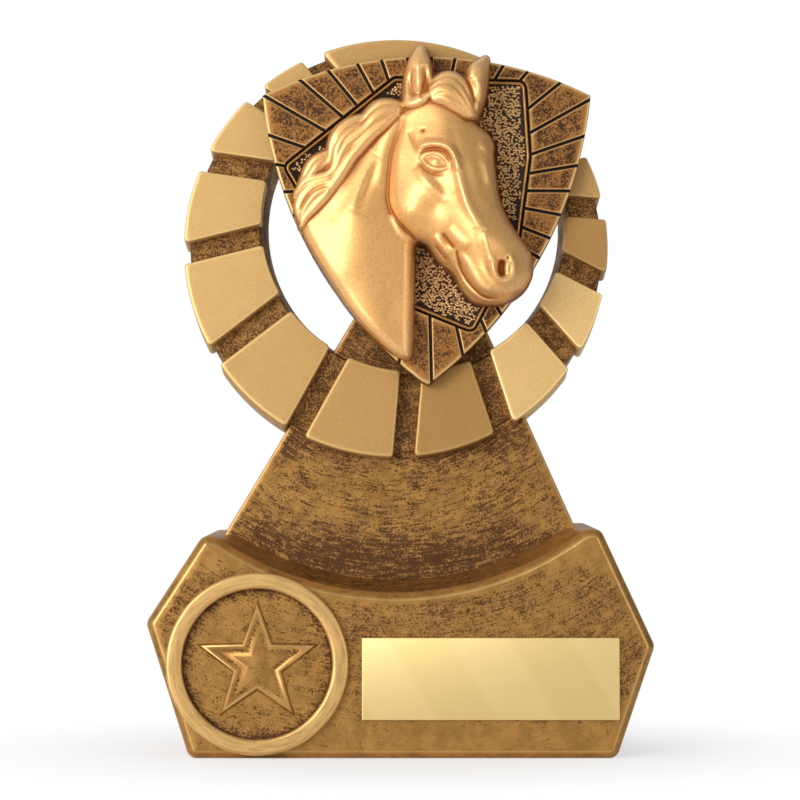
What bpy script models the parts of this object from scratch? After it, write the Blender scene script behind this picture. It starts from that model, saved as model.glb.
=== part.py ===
"""Horse trophy: a cast stand with an open ring, a shield with a horse's head, and an engraving plate.

Metres, +Z up, the front faces -Y. The origin is on the underside, in the middle of the whole part.
"""
import math

import bmesh
import bpy
import numpy as np
from mathutils import Vector

MM = 0.001

# Base block
BASE_DEPTH = 38.0 * MM
BASE_BOTTOM_LEFT = 36.3 * MM
BASE_BOTTOM_RIGHT = 37.2 * MM
BASE_SHOULDER_LEFT = 43.8 * MM
BASE_SHOULDER_RIGHT = 43.8 * MM
BASE_SHOULDER_LEFT_HEIGHT = 23.2 * MM
BASE_SHOULDER_RIGHT_HEIGHT = 19.2 * MM
BASE_TOP_LEFT = 34.2 * MM
BASE_TOP_RIGHT = 34.5 * MM
BASE_TOP_LEFT_HEIGHT = 38.0 * MM
BASE_TOP_RIGHT_HEIGHT = 39.3 * MM
BASE_CORNER_RADIUS = 1.8 * MM
BASE_FRONT_LEAN = math.radians(4.0)
BASE_SIDE_DRAFT = 1.0 * MM
BASE_EDGE_BEVEL = 1.2 * MM

# The medallion's rim stands out of the base's front, and the part's middle counts it
MEDALLION_PROUD = 1.5 * MM
BASE_BACK = (BASE_DEPTH + MEDALLION_PROUD) / 2
BASE_FRONT = BASE_BACK - BASE_DEPTH

# Scoop cut into the top of the base in front of the stem, behind a wider sloping lip
SCOOP_RADIUS = 54.5 * MM
SCOOP_FLOOR_HEIGHT = 28.3 * MM
SCOOP_MIDDLE = -0.9 * MM
LIP_DEPTH = 1.3 * MM
LIP_DROP = 1.1 * MM
LIP_RADIUS = 58.2 * MM
LIP_MIDDLE = 0.3 * MM
SCOOP_HALF_ANGLE = math.radians(62.0)

# The scoop's floor rises to the back, and runs out of the top just short of it
SCOOP_RUN_OUT = 0.17 * MM
SCOOP_BACK_HEIGHT = (BASE_TOP_LEFT_HEIGHT + BASE_TOP_RIGHT_HEIGHT) / 2 + SCOOP_RUN_OUT
SCOOP_RISE = math.atan2(SCOOP_BACK_HEIGHT - SCOOP_FLOOR_HEIGHT, BASE_DEPTH - LIP_DEPTH)

# Leaning frame that the stem, the ring and the shield share; its foot is over the scoop's floor
PANEL_LEAN = math.radians(8.0)
PANEL_SETBACK = 10.4 * MM
PANEL_FOOT_RISE = 1.7 * MM
PANEL_FOOT = Vector((0.0, BASE_FRONT + PANEL_SETBACK, SCOOP_FLOOR_HEIGHT + PANEL_FOOT_RISE))

# Stem, measured up the leaning frame
STEM_FRONT = 0.3 * MM
STEM_BACK = 8.5 * MM
STEM_FOOT_BACK = 17.0 * MM
STEM_LEFT_RAY = math.radians(239.5)
STEM_RIGHT_RAY = math.radians(293.8)
STEM_TOP_AT = 60.0 * MM
STEM_ROOT = 6.0 * MM
STEM_BUTTRESS_AT = 32.0 * MM
STEM_BUTTRESS_INSET = 1.5 * MM
STEM_EDGE_BEVEL = 0.7 * MM
STEM_SHOULDER_FILLET = 4.0 * MM

# Ring with raised blocks; the hole is set off centre, so one side of the ring is narrow
RING_RADIUS = 37.2 * MM
RING_FOOT_AT = 21.3 * MM
RING_MIDDLE = -0.8 * MM
RING_CENTRE = (RING_MIDDLE, RING_FOOT_AT + RING_RADIUS)
RING_HOLE_SHIFT = (3.0 * MM, 4.65 * MM)
RING_NARROW_WALL = 5.1 * MM
RING_HOLE_RADIUS = RING_RADIUS - RING_NARROW_WALL - math.hypot(*RING_HOLE_SHIFT)
RING_HOLE_CENTRE = (RING_CENTRE[0] + RING_HOLE_SHIFT[0], RING_CENTRE[1] + RING_HOLE_SHIFT[1])
RING_BACK = 8.0 * MM
RING_GROOVE_FRONT = 0.6 * MM
RING_GROOVE_INSET = 1.1 * MM
BLOCK_FRONT = 3.0 * MM
BLOCK_BACK_INSET = 0.6 * MM
BLOCK_BACK = RING_BACK - BLOCK_BACK_INSET
BLOCK_EDGE_BEVEL = 0.4 * MM
BLOCK_CORNER_RADIUS = 1.1 * MM
GROOVE_WIDTH = 3.7 * MM

# The grooves between the blocks and between the shield's tiles all point at one spot
BURST_SHIFT = (5.4 * MM, 9.5 * MM)
BURST = (RING_CENTRE[0] + BURST_SHIFT[0], RING_CENTRE[1] + BURST_SHIFT[1])
GROOVE_ANGLES = (
    17.0, 38.5, 60.0, 129.5, 149.5, 171.5, 194.1, 217.8, 241.4, 265.0, 287.9, 311.2, 332.7, 355.0,
)

# Medallion on the base, in the leaning plane of the base's front
MEDALLION_RADIUS = 15.7 * MM
MEDALLION_SIDE_GAP = 3.5 * MM
MEDALLION_FOOT_GAP = 0.5 * MM
MEDALLION_AT = (MEDALLION_RADIUS + MEDALLION_SIDE_GAP - BASE_SHOULDER_LEFT,
                MEDALLION_RADIUS + MEDALLION_FOOT_GAP)
MEDALLION_HOLE_RADIUS = 12.9 * MM
MEDALLION_ROUND = 0.25
MEDALLION_SUNK = 0.5 * MM
STAR_RADIUS = 11.1 * MM
STAR_WAIST = 0.41
STAR_PROUD = 0.9 * MM
STAR_BEVEL = 0.8 * MM

# Engraving plate, between the medallion and the base's right side
PLATE_GAP = 2.3 * MM
PLATE_MARGIN = 6.2 * MM
PLATE_LEFT = MEDALLION_AT[0] + MEDALLION_RADIUS + PLATE_GAP
PLATE_RIGHT = BASE_SHOULDER_RIGHT - PLATE_MARGIN
PLATE_BOTTOM_AT = 6.6 * MM
PLATE_HEIGHT = 14.1 * MM
PLATE_THICK = 0.5 * MM
GLUE_GAP = 0.3 * MM

# Shield plate, glued on the ring's blocks, which it overlaps at its sides, top and tip
SHIELD_AXIS = BURST[0]
SHIELD_SIDE_OVERLAP = 2.23 * MM
SHIELD_TOP_OVERLAP = 2.18 * MM
SHIELD_TIP_OVERLAP = 3.08 * MM
SHIELD_ARCH = 7.0 * MM
SHIELD_HALF_WIDTH = RING_HOLE_RADIUS + SHIELD_SIDE_OVERLAP
SHIELD_TOP_AT = RING_HOLE_CENTRE[1] + RING_HOLE_RADIUS + SHIELD_TOP_OVERLAP
SHIELD_SHOULDER_AT = SHIELD_TOP_AT - SHIELD_ARCH
SHIELD_TIP_AT = RING_HOLE_CENTRE[1] - RING_HOLE_RADIUS - SHIELD_TIP_OVERLAP
SHIELD_SIDE_BULGE = 6.2 * MM
SHIELD_THICK = 3.0 * MM
SHIELD_BEVEL = 0.5 * MM
SHIELD_BACK = BLOCK_FRONT + GLUE_GAP
SHIELD_FRONT = SHIELD_BACK + SHIELD_THICK
PANEL_SUNK = 0.8 * MM
PANEL_FLOOR = SHIELD_FRONT - PANEL_SUNK

# Corners of the sunk panel from the burst, as shares of the way to the shield's side, top or tip
PANEL_CORNER_RADIUS = 1.2 * MM
PANEL_CORNERS = (
    (-0.8646, 0.1799), (-0.1944, 0.8368), (0.5972, 0.8075), (0.625, 0.251), (0.5521, -0.2754),
    (0.2778, -0.7246), (-0.2639, -0.5362), (-0.7153, -0.087),
)

# The horse is drawn on the photograph's 800 x 800 frame, which these bring into the leaning frame.
# Its surface is worked out in millimetres from the shield's burst, in the photograph at BURST_PIXEL
PIXEL_ACROSS = 0.1735
PIXEL_UP = 0.1755
BURST_PIXEL = (426.9, 184.6)
HORSE_LEFT, HORSE_RIGHT = -25.6, 20.0
HORSE_BOTTOM, HORSE_TOP = -36.0, 26.0
HORSE_STEP = 0.4
HORSE_TRIANGLES = 5600
WALL_SLOPE = 9.0

# The sketch's heights hold for a shield whose front is at SKETCH_SEAT, and move with the real one.
# The horse starts below the panel's floor, inside the shield plate
SKETCH_SEAT = 6.3
HORSE_SUNK = 0.5
HORSE_ROOT_DEPTH = 0.8
HORSE_ROOT = PANEL_FLOOR / MM - HORSE_SUNK
HORSE_UNDERSIDE = HORSE_ROOT - HORSE_ROOT_DEPTH

# How far a surface may stray from its landmarks, and how soft the creases between forms are
LANDMARK_GIVE = 1.5
HAIR_CREASE = 0.2
HEAD_CREASE = 0.3
EAR_CREASE = 0.15

NECK_OUTLINE = [
    (404, 106), (380, 104), (355, 124), (334, 150), (322, 180), (306, 204), (297, 218), (300, 232),
    (309, 248), (326, 276), (346, 306), (368, 332), (392, 354), (404, 360), (411, 358), (413, 340),
    (414, 300), (414, 262), (416, 244), (432, 236), (440, 180), (430, 130),
]
NECK_HEIGHTS = {
    "poll": (400, 112, 12.2), "upper crest": (372, 124, 11.2), "middle crest": (345, 160, 11.0),
    "lower crest": (318, 205, 9.6), "upper side": (378, 160, 11.4), "middle side": (352, 215, 12.0),
    "lower side": (345, 270, 11.4), "throat": (400, 245, 11.4), "upper throat": (388, 200, 11.4),
    "breast": (385, 320, 11.0), "breast edge": (408, 310, 10.0), "tip": (404, 352, 10.0),
    "shoulder edge": (308, 240, 9.4), "low edge": (340, 295, 10.4), "under the cheek": (430, 200, 11.0),
}
NECK_ROUNDING = 3.0
HEAD_OUTLINE = [
    (397, 112), (396, 125), (389, 152), (386.5, 183), (387, 202), (393, 218), (401, 229), (411, 237.5),
    (420, 242), (428, 246), (438, 260), (450, 270), (456, 276), (463, 290), (472, 300), (482, 304),
    (495, 304.5), (508, 300), (521, 291), (528, 280), (530.5, 269), (530, 257), (526, 250), (516.5, 237),
    (507, 222), (499.5, 206), (496, 192), (494.5, 178), (493, 163), (492.5, 152), (493.5, 146), (490, 137),
    (483, 130), (474, 123), (466, 112), (452, 98), (436, 90), (415, 98),
]
HEAD_HEIGHTS = {
    "ear root": (408, 112, 12.6), "temple": (408, 140, 13.2), "rear of the brow": (416, 150, 14.2),
    "near forehead": (430, 125, 14.4), "forehead": (449, 118, 14.9), "forelock root": (446, 100, 14.0),
    "far forehead": (466, 124, 13.6), "eye": (435, 160, 15.6), "front of the eye": (450, 166, 16.4),
    "brow": (448, 150, 16.6), "face top": (456, 166, 17.0), "far face": (476, 152, 15.0),
    "far eye": (488, 146, 12.8), "upper nose": (464, 200, 17.7), "middle nose": (474, 220, 18.2),
    "lower nose": (486, 240, 18.5), "far upper nose": (484, 185, 15.6), "far middle nose": (495, 212, 15.6),
    "far lower nose": (512, 240, 15.8), "cheek": (412, 190, 15.0), "low cheek": (410, 215, 14.8),
    "cheek edge": (394, 190, 13.0), "low cheek edge": (404, 227, 12.8), "facial crest": (430, 184, 16.0),
    "below the crest": (440, 205, 15.6), "front of the cheek": (446, 222, 15.9), "jaw": (428, 238, 13.2),
    "front of the jaw": (444, 256, 13.0), "mouth corner": (457, 256, 15.0), "chin": (466, 286, 13.4),
    "lower lip": (485, 300, 14.0), "upper lip": (492, 290, 17.2), "front of the lip": (515, 288, 15.6),
    "rear of the nostril": (488, 264, 17.8), "nostril": (502, 270, 17.9), "muzzle top": (515, 258, 16.6),
    "muzzle front": (526, 264, 14.6), "side of the lip": (472, 264, 16.4),
}
HEAD_ROUNDING = 2.2
NEAR_EAR_OUTLINE = [
    (403, 106), (405, 88), (407, 70), (412, 57), (418, 47), (424, 46), (427, 56), (431, 68), (432, 80),
    (430, 92), (428, 102), (416, 110),
]
NEAR_EAR_HEIGHTS = {
    "left root": (406, 100, 12.2), "right root": (427, 97, 13.4), "middle": (419, 82, 13.2),
    "left rim": (408, 75, 12.0), "right rim": (430, 76, 12.8), "tip": (420, 50, 11.4),
    "upper": (418, 62, 12.6),
}
NEAR_EAR_ROUNDING = 0.8
FAR_EAR_OUTLINE = [
    (466, 84), (470, 68), (479, 59.5), (488, 54), (489.5, 64), (488, 80), (485.5, 92), (482, 104),
    (477, 113), (472, 104), (468, 94),
]
FAR_EAR_HEIGHTS = {
    "root": (476, 106, 12.4), "middle": (478, 84, 12.6), "left rim": (468, 84, 10.8),
    "right rim": (487, 80, 10.4), "tip": (486, 58, 10.0), "upper": (481, 68, 11.6),
}
FAR_EAR_ROUNDING = 1.3

# Locks of hair: across and down on the sketch, height and half width
MANE = (
    ((398, 103, 12.3, 1.6), (385, 103, 12.4, 2.2), (374, 112, 12.3, 2.3), (366, 122, 12.0, 2.2),
     (352, 136, 11.8, 2.0), (342, 150, 11.4, 1.8), (334, 166, 11.2, 1.6), (326, 178, 10.9, 1.3)),
    ((364, 117, 11.2, 1.5), (350, 124, 11.4, 1.9), (338, 133, 11.4, 2.0), (332, 146, 11.3, 1.8),
     (330, 160, 11.0, 1.6), (327, 172, 10.7, 1.3)),
    ((392, 112, 12.6, 1.2), (378, 124, 12.6, 1.6), (364, 138, 12.4, 1.7), (352, 152, 12.1, 1.6),
     (341, 168, 11.8, 1.5), (331, 182, 11.3, 1.5), (318, 196, 10.7, 1.8), (309, 208, 10.2, 1.6),
     (303, 221, 9.4, 0.7)),
    ((322, 162, 10.2, 1.6), (314, 165, 10.2, 2.3), (308, 173, 10.1, 2.1), (302, 184, 9.7, 1.5),
     (293, 196, 8.8, 0.5)),
    ((324, 186, 11.2, 1.2), (311, 192, 10.5, 1.5), (303, 200, 10.0, 1.4), (299, 211, 9.6, 1.2),
     (300, 222, 9.0, 0.6)),
)
FORELOCK = (
    ((434, 92, 14.6, 1.7), (446, 92, 15.6, 2.4), (457, 101, 15.8, 2.3), (467, 112, 15.0, 1.5),
     (474, 118, 13.6, 0.6)),
    ((433, 84, 14.6, 1.5), (444, 81, 15.4, 1.8), (456, 86, 15.5, 1.8), (466, 98, 15.2, 1.7),
     (474, 113, 14.0, 0.9)),
)
LOCK_FULLNESS = 0.8

# Ridges and hollows: points on the sketch, half width and height
NECK_STROKES = (
    (((398, 118), (382, 140), (366, 168), (356, 194), (351, 216)), 1.1, 0.7),
    (((396, 128), (384, 158), (376, 190), (372, 220)), 1.3, 0.5),
)
FACE_STROKES = (
    (((450, 150), (456, 166), (461, 186), (467, 207), (477, 224), (484, 233)), 0.9, 0.75),
    (((418, 148), (430, 145.5), (442, 147), (450, 152), (456, 164), (457, 174)), 0.6, 0.75),
    (((419, 168), (428, 181), (438, 192), (452, 200)), 1.0, 0.9),
    (((446, 229), (453, 238), (461, 249)), 0.75, 0.95),
    (((455.5, 251), (458, 262), (461, 273), (468, 285), (478, 295), (488, 299.5), (503, 300.5)), 0.4, -0.9),
    (((494.5, 260), (492, 267), (494, 276), (500, 283), (507, 284)), 0.5, 0.75),
    (((506, 256), (511, 262), (513, 270), (511, 278), (504, 284)), 0.5, 0.7),
    (((502, 262), (500, 270), (501, 279)), 0.65, -1.7),
)
EAR_STROKES = (
    (((412, 66), (410, 80), (411, 94), (414, 101)), 0.9, -1.4),
    (((424, 66), (425, 78), (423, 92), (418, 101)), 0.8, -1.3),
)

ARC_STEP = math.radians(6.0)
SAME_POINT = 0.001 * MM


def clear_scene():
    """Remove whatever the scene holds."""
    for item in list(bpy.data.objects):
        bpy.data.objects.remove(item, do_unlink=True)


def paint(name, colour, roughness, metallic):
    """One plain material for a sub-part."""
    material = bpy.data.materials.new(name)
    material.use_nodes = True
    shader = material.node_tree.nodes["Principled BSDF"]
    shader.inputs["Base Color"].default_value = (*colour, 1.0)
    shader.inputs["Roughness"].default_value = roughness
    shader.inputs["Metallic"].default_value = metallic
    return material


def make_object(name, mesh):
    """Link an object for a mesh."""
    item = bpy.data.objects.new(name, mesh)
    bpy.context.collection.objects.link(item)
    return item


def panel_point(across, up, out):
    """A point of the leaning frame: across is X, up runs along the lean, out faces the viewer."""
    sine, cosine = math.sin(PANEL_LEAN), math.cos(PANEL_LEAN)
    return PANEL_FOOT + Vector((across, up * sine - out * cosine, up * cosine + out * sine))


def front_point(across, up, out):
    """A point on the base's leaning front: up is measured along the face, out is its normal."""
    sine, cosine = math.sin(BASE_FRONT_LEAN), math.cos(BASE_FRONT_LEAN)
    return Vector((across, BASE_FRONT + up * sine - out * cosine, up * cosine + out * sine))


def arc(centre, radius, start, end):
    """Points along an arc, both ends included."""
    steps = max(2, math.ceil(abs(end - start) / ARC_STEP))
    angles = (start + (end - start) * step / steps for step in range(steps + 1))
    return [(centre[0] + radius * math.cos(a), centre[1] + radius * math.sin(a)) for a in angles]


def rounded(points, radius):
    """A closed outline with each corner replaced by three points of a fillet."""
    result = []
    count = len(points)
    for index, corner in enumerate(points):
        corner = Vector(corner)
        before = (Vector(points[index - 1]) - corner).normalized()
        after = (Vector(points[(index + 1) % count]) - corner).normalized()
        half = before.angle(after) / 2
        reach = radius / math.tan(half)
        first, last = corner + before * reach, corner + after * reach
        centre = corner + (before + after).normalized() * (radius / math.sin(half))
        middle = centre + (corner - centre).normalized() * radius
        result += [tuple(first), tuple(middle), tuple(last)]
    return result


def loft(name, sections):
    """A closed solid through outlines of equal count, each a list of 3-D points."""
    mesh = bpy.data.meshes.new(name)
    shape = bmesh.new()
    rings = [[shape.verts.new(point) for point in section] for section in sections]
    for lower, upper in zip(rings, rings[1:]):
        for index in range(len(lower)):
            after = (index + 1) % len(lower)
            shape.faces.new((lower[index], lower[after], upper[after], upper[index]))
    shape.faces.new(reversed(rings[0]))
    shape.faces.new(rings[-1])
    bmesh.ops.recalc_face_normals(shape, faces=shape.faces)
    shape.to_mesh(mesh)
    shape.free()
    return make_object(name, mesh)


def inset(points, amount):
    """A closed outline moved inwards by amount, for a bevel's upper edge."""
    area = sum(a[0] * b[1] - b[0] * a[1] for a, b in zip(points, points[1:] + points[:1]))
    side = 1.0 if area > 0 else -1.0
    result = []
    count = len(points)
    for index, point in enumerate(points):
        here = Vector(point)
        into = (here - Vector(points[index - 1])).normalized()
        away = (Vector(points[(index + 1) % count]) - here).normalized()
        normal_in = Vector((-into.y, into.x)) * side
        normal_out = Vector((-away.y, away.x)) * side
        middle = (normal_in + normal_out).normalized()
        result.append(tuple(here + middle * (amount / max(0.4, middle.dot(normal_in)))))
    return result


def slab(name, outline, place, back, front, bevel):
    """An outline extruded from back to front with a bevelled front edge."""
    top = inset(outline, bevel)
    return loft(name, [
        [place(x, z, back) for x, z in outline],
        [place(x, z, front - bevel) for x, z in outline],
        [place(x, z, front) for x, z in top],
    ])


def close_slivers(mesh):
    """Join points that two cuts left within a micron of each other."""
    shape = bmesh.new()
    shape.from_mesh(mesh)
    bmesh.ops.remove_doubles(shape, verts=shape.verts, dist=SAME_POINT)
    bmesh.ops.dissolve_degenerate(shape, edges=shape.edges, dist=SAME_POINT)
    shape.to_mesh(mesh)
    shape.free()


def combine(target, others, operation):
    """Apply a Boolean of target with each of the others, and remove them."""
    for other in others:
        other.hide_render = True
        other.display_type = "WIRE"
        cut = target.modifiers.new(operation.lower(), "BOOLEAN")
        cut.operation = operation
        cut.solver = "EXACT"
        cut.object = other
        depsgraph = bpy.context.evaluated_depsgraph_get()
        mesh = bpy.data.meshes.new_from_object(target.evaluated_get(depsgraph))
        target.modifiers.clear()
        target.data = mesh
        bpy.data.objects.remove(other, do_unlink=True)
        close_slivers(mesh)


def base_block():
    """The six-sided block, its front leaning back and its sides drawn in a little to the rear."""
    corners = [
        (-BASE_BOTTOM_LEFT, 0.0),
        (BASE_BOTTOM_RIGHT, 0.0),
        (BASE_SHOULDER_RIGHT, BASE_SHOULDER_RIGHT_HEIGHT),
        (BASE_TOP_RIGHT, BASE_TOP_RIGHT_HEIGHT),
        (-BASE_TOP_LEFT, BASE_TOP_LEFT_HEIGHT),
        (-BASE_SHOULDER_LEFT, BASE_SHOULDER_LEFT_HEIGHT),
    ]
    outline = rounded(corners, BASE_CORNER_RADIUS)
    bevelled = inset(outline, BASE_EDGE_BEVEL)
    lean = math.tan(BASE_FRONT_LEAN)
    narrowing = 1.0 - BASE_SIDE_DRAFT / BASE_SHOULDER_RIGHT
    return loft("base_block", [
        [Vector((x, BASE_FRONT + z * lean, z)) for x, z in bevelled],
        [Vector((x, BASE_FRONT + BASE_EDGE_BEVEL + z * lean, z)) for x, z in outline],
        [Vector((x * narrowing, BASE_BACK, z)) for x, z in outline],
    ])


def scoop():
    """The hollow cut that rises from the front edge towards the stem, with a sloping lip in front."""
    lean, rise = math.tan(BASE_FRONT_LEAN), math.tan(SCOOP_RISE)
    start, end = -math.pi / 2 - SCOOP_HALF_ANGLE, -math.pi / 2 + SCOOP_HALF_ANGLE
    lip = (LIP_MIDDLE, SCOOP_FLOOR_HEIGHT - LIP_DROP + LIP_RADIUS, LIP_RADIUS)
    floor = (SCOOP_MIDDLE, SCOOP_FLOOR_HEIGHT + SCOOP_RADIUS, SCOOP_RADIUS)
    sections = []
    for depth, (middle, height, radius) in (
            (-LIP_DEPTH * 2, lip), (0.0, lip), (LIP_DEPTH, floor), (BASE_DEPTH * 1.2, floor)):
        bottom = arc((middle, height), radius, start, end)
        outline = bottom + [(bottom[-1][0], height), (bottom[0][0], height)]
        lift = max(depth - LIP_DEPTH, 0.0) * rise
        sections.append([Vector((x, BASE_FRONT + z * lean + depth, z + lift)) for x, z in outline])
    return loft("scoop", sections)


def ray_at(angle, up):
    """Where a line from the burst point crosses a height of the leaning frame."""
    return BURST[0] + (up - BURST[1]) / math.tan(angle)


def stem():
    """The tapering stem: its edges run along two rays of the burst."""
    left_foot, right_foot = ray_at(STEM_LEFT_RAY, -STEM_ROOT), ray_at(STEM_RIGHT_RAY, -STEM_ROOT)
    left_top, right_top = ray_at(STEM_LEFT_RAY, STEM_TOP_AT), ray_at(STEM_RIGHT_RAY, STEM_TOP_AT)
    outline = [(left_foot, -STEM_ROOT), (right_foot, -STEM_ROOT),
               (right_top, STEM_TOP_AT), (left_top, STEM_TOP_AT)]
    outline = rounded(outline, BASE_CORNER_RADIUS)
    return slab("stem", outline, panel_point, -STEM_BACK, STEM_FRONT, STEM_EDGE_BEVEL)


def buttress():
    """The stem's thicker lower back."""
    sections = []
    for up, back in ((-STEM_ROOT, STEM_FOOT_BACK), (STEM_BUTTRESS_AT, STEM_BACK)):
        left = ray_at(STEM_LEFT_RAY, up) + STEM_BUTTRESS_INSET
        right = ray_at(STEM_RIGHT_RAY, up) - STEM_BUTTRESS_INSET
        front = -STEM_BACK + STEM_BUTTRESS_INSET
        sections.append([panel_point(x, up, out) for x, out in
                         ((left, front), (right, front), (right, -back), (left, -back))])
    return loft("buttress", sections)


def shoulder_fillet(ray, side, top):
    """A small fillet where the stem's side runs down into the top of the base, behind its front."""
    foot_up = (top - PANEL_FOOT.z) / math.cos(PANEL_LEAN)
    high = foot_up + STEM_SHOULDER_FILLET
    start = Vector((ray_at(ray, high), high))
    foot = Vector((ray_at(ray, foot_up), foot_up))
    end = foot + Vector((side * STEM_SHOULDER_FILLET, 0.0))
    shares = (0.0, 0.25, 0.5, 0.75, 1.0)
    curve = [start * (1 - t) ** 2 + foot * 2 * t * (1 - t) + end * t ** 2 for t in shares]
    sunk = Vector((0.0, -STEM_SHOULDER_FILLET / 2))
    inner = Vector((-side * STEM_SHOULDER_FILLET / 4, 0.0))
    outline = [start + inner, *curve, end + sunk, foot + sunk + inner]
    front, back = STEM_FRONT - STEM_EDGE_BEVEL * 3, STEM_EDGE_BEVEL - STEM_BACK
    return loft("fillet", [[panel_point(x, z, out) for x, z in outline] for out in (back, front)])


def circle(centre, radius):
    """A full circle without its repeated last point."""
    return arc(centre, radius, 0.0, 2 * math.pi)[:-1]


def ring_core():
    """The ring behind the blocks: what shows in the grooves."""
    outer = circle(RING_CENTRE, RING_RADIUS - RING_GROOVE_INSET)
    return slab("ring_core", outer, panel_point, -RING_BACK, RING_GROOVE_FRONT, BLOCK_EDGE_BEVEL)


def ring_hole():
    """The cutter of the ring's hole."""
    outline = circle(RING_HOLE_CENTRE, RING_HOLE_RADIUS)
    reach = RING_BACK * 2
    return loft("ring_hole", [[panel_point(x, z, out) for x, z in outline] for out in (-reach, reach)])


def groove_edge(angle, side, centre, radius):
    """Where one edge of a groove meets a circle, as an angle about the circle's centre."""
    direction = Vector((math.cos(angle), math.sin(angle)))
    normal = Vector((-direction.y, direction.x)) * side
    start = Vector(BURST) + normal * GROOVE_WIDTH / 2 - Vector(centre)
    along = start.dot(direction)
    reach = -along + math.sqrt(along * along - start.length_squared + radius * radius)
    point = start + direction * reach
    return math.atan2(point.y, point.x)


def ring_block(index, first, last):
    """One raised block between two grooves."""
    outer = [groove_edge(a, s, RING_CENTRE, RING_RADIUS) for a, s in ((first, 1), (last, -1))]
    inner = [groove_edge(a, s, RING_HOLE_CENTRE, RING_HOLE_RADIUS) for a, s in ((first, 1), (last, -1))]
    for pair in (outer, inner):
        while pair[1] < pair[0]:
            pair[1] += 2 * math.pi
    outside = arc(RING_CENTRE, RING_RADIUS, *outer)
    inside = arc(RING_HOLE_CENTRE, RING_HOLE_RADIUS, inner[1], inner[0])
    corners = {0, len(outside) - 1, len(outside), len(outside) + len(inside) - 1}
    points = outside + inside
    fillets = rounded(points, BLOCK_CORNER_RADIUS)
    outline = []
    for place, point in enumerate(points):
        outline += fillets[3 * place:3 * place + 3] if place in corners else [point]
    return slab(f"block_{index}", outline, panel_point, -BLOCK_BACK, BLOCK_FRONT, BLOCK_EDGE_BEVEL)


def medallion():
    """The round rim on the base and the cutter of its recess."""
    disc = circle(MEDALLION_AT, MEDALLION_RADIUS)
    bore = circle(MEDALLION_AT, MEDALLION_HOLE_RADIUS)
    step = MEDALLION_PROUD * MEDALLION_ROUND
    rim = loft("medallion_rim", [
        [front_point(x, z, out) for x, z in inset(disc, amount)]
        for out, amount in ((-MEDALLION_PROUD, 0.0), (MEDALLION_PROUD - 2 * step, 0.0),
                            (MEDALLION_PROUD - step / 2, step), (MEDALLION_PROUD, 2.5 * step))])
    recess = loft("medallion_recess", [
        [front_point(x, z, out) for x, z in inset(bore, -amount)]
        for out, amount in ((-MEDALLION_SUNK, 0.0), (MEDALLION_PROUD - step, 0.0),
                            (MEDALLION_PROUD + step, 2 * step), (MEDALLION_PROUD * 3, 2 * step))])
    return rim, recess


def star():
    """The raised five-pointed star in the medallion."""
    outline = []
    for step in range(10):
        radius = STAR_RADIUS * (STAR_WAIST if step % 2 else 1.0)
        angle = math.radians(90.0 + 36.0 * step)
        spoke = Vector((math.cos(angle), math.sin(angle))) * radius
        outline.append(tuple(Vector(MEDALLION_AT) + spoke))
    top = STAR_PROUD - MEDALLION_SUNK
    return slab("star", outline, front_point, -MEDALLION_PROUD, top, STAR_BEVEL)


def stand():
    """Base, stem, ring and medallion, cast as one."""
    casting = base_block()
    casting.name = "stand"
    combine(casting, [scoop()], "DIFFERENCE")
    shoulder_left = (STEM_LEFT_RAY, -1.0, BASE_TOP_LEFT_HEIGHT)
    shoulder_right = (STEM_RIGHT_RAY, 1.0, BASE_TOP_RIGHT_HEIGHT)
    core = ring_core()
    angles = [math.radians(a) for a in GROOVE_ANGLES]
    ends = angles[1:] + [angles[0] + 2 * math.pi]
    blocks = [ring_block(i, a, b) for i, (a, b) in enumerate(zip(angles, ends))]
    combine(core, blocks, "UNION")
    combine(core, [ring_hole()], "DIFFERENCE")
    combine(core, [stem()], "UNION")
    fillets = [shoulder_fillet(*shoulder_left), shoulder_fillet(*shoulder_right)]
    combine(casting, [buttress(), *fillets, core], "UNION")
    rim, recess = medallion()
    combine(casting, [rim], "UNION")
    combine(casting, [recess], "DIFFERENCE")
    combine(casting, [star()], "UNION")
    casting.data.materials.clear()
    casting.data.materials.append(paint("antique_gold", (0.42, 0.27, 0.10), 0.45, 0.8))
    return casting


def engraving_plate():
    """The bare plate on the base."""
    top = PLATE_BOTTOM_AT + PLATE_HEIGHT
    outline = [(PLATE_LEFT, PLATE_BOTTOM_AT), (PLATE_RIGHT, PLATE_BOTTOM_AT),
               (PLATE_RIGHT, top), (PLATE_LEFT, top)]
    plate = slab("engraving_plate", outline, front_point, GLUE_GAP, GLUE_GAP + PLATE_THICK, PLATE_THICK / 4)
    plate.data.materials.append(paint("plate_gold", (0.72, 0.62, 0.34), 0.35, 0.9))
    return plate


def arc_between(start, end, bulge):
    """Points of an arc from start to end that swells out to the right of the way by bulge."""
    start, end = Vector(start), Vector(end)
    chord = end - start
    radius = chord.length_squared / (8 * bulge) + bulge / 2
    right = Vector((chord.y, -chord.x)).normalized()
    centre = (start + end) / 2 + right * (bulge - radius)
    first = math.atan2(start.y - centre.y, start.x - centre.x)
    last = math.atan2(end.y - centre.y, end.x - centre.x)
    while last < first:
        last += 2 * math.pi
    return arc(centre, radius, first, last)


def shield_outline():
    """Tip, right side, top and left side of the shield, counter-clockwise."""
    tip = (SHIELD_AXIS, SHIELD_TIP_AT)
    right = (SHIELD_AXIS + SHIELD_HALF_WIDTH, SHIELD_SHOULDER_AT)
    left = (SHIELD_AXIS - SHIELD_HALF_WIDTH, SHIELD_SHOULDER_AT)
    sides = [arc_between(tip, right, SHIELD_SIDE_BULGE)]
    sides.append(arc_between(right, left, SHIELD_TOP_AT - SHIELD_SHOULDER_AT))
    sides.append(arc_between(left, tip, SHIELD_SIDE_BULGE))
    return [point for side in sides for point in side[:-1]]


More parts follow.
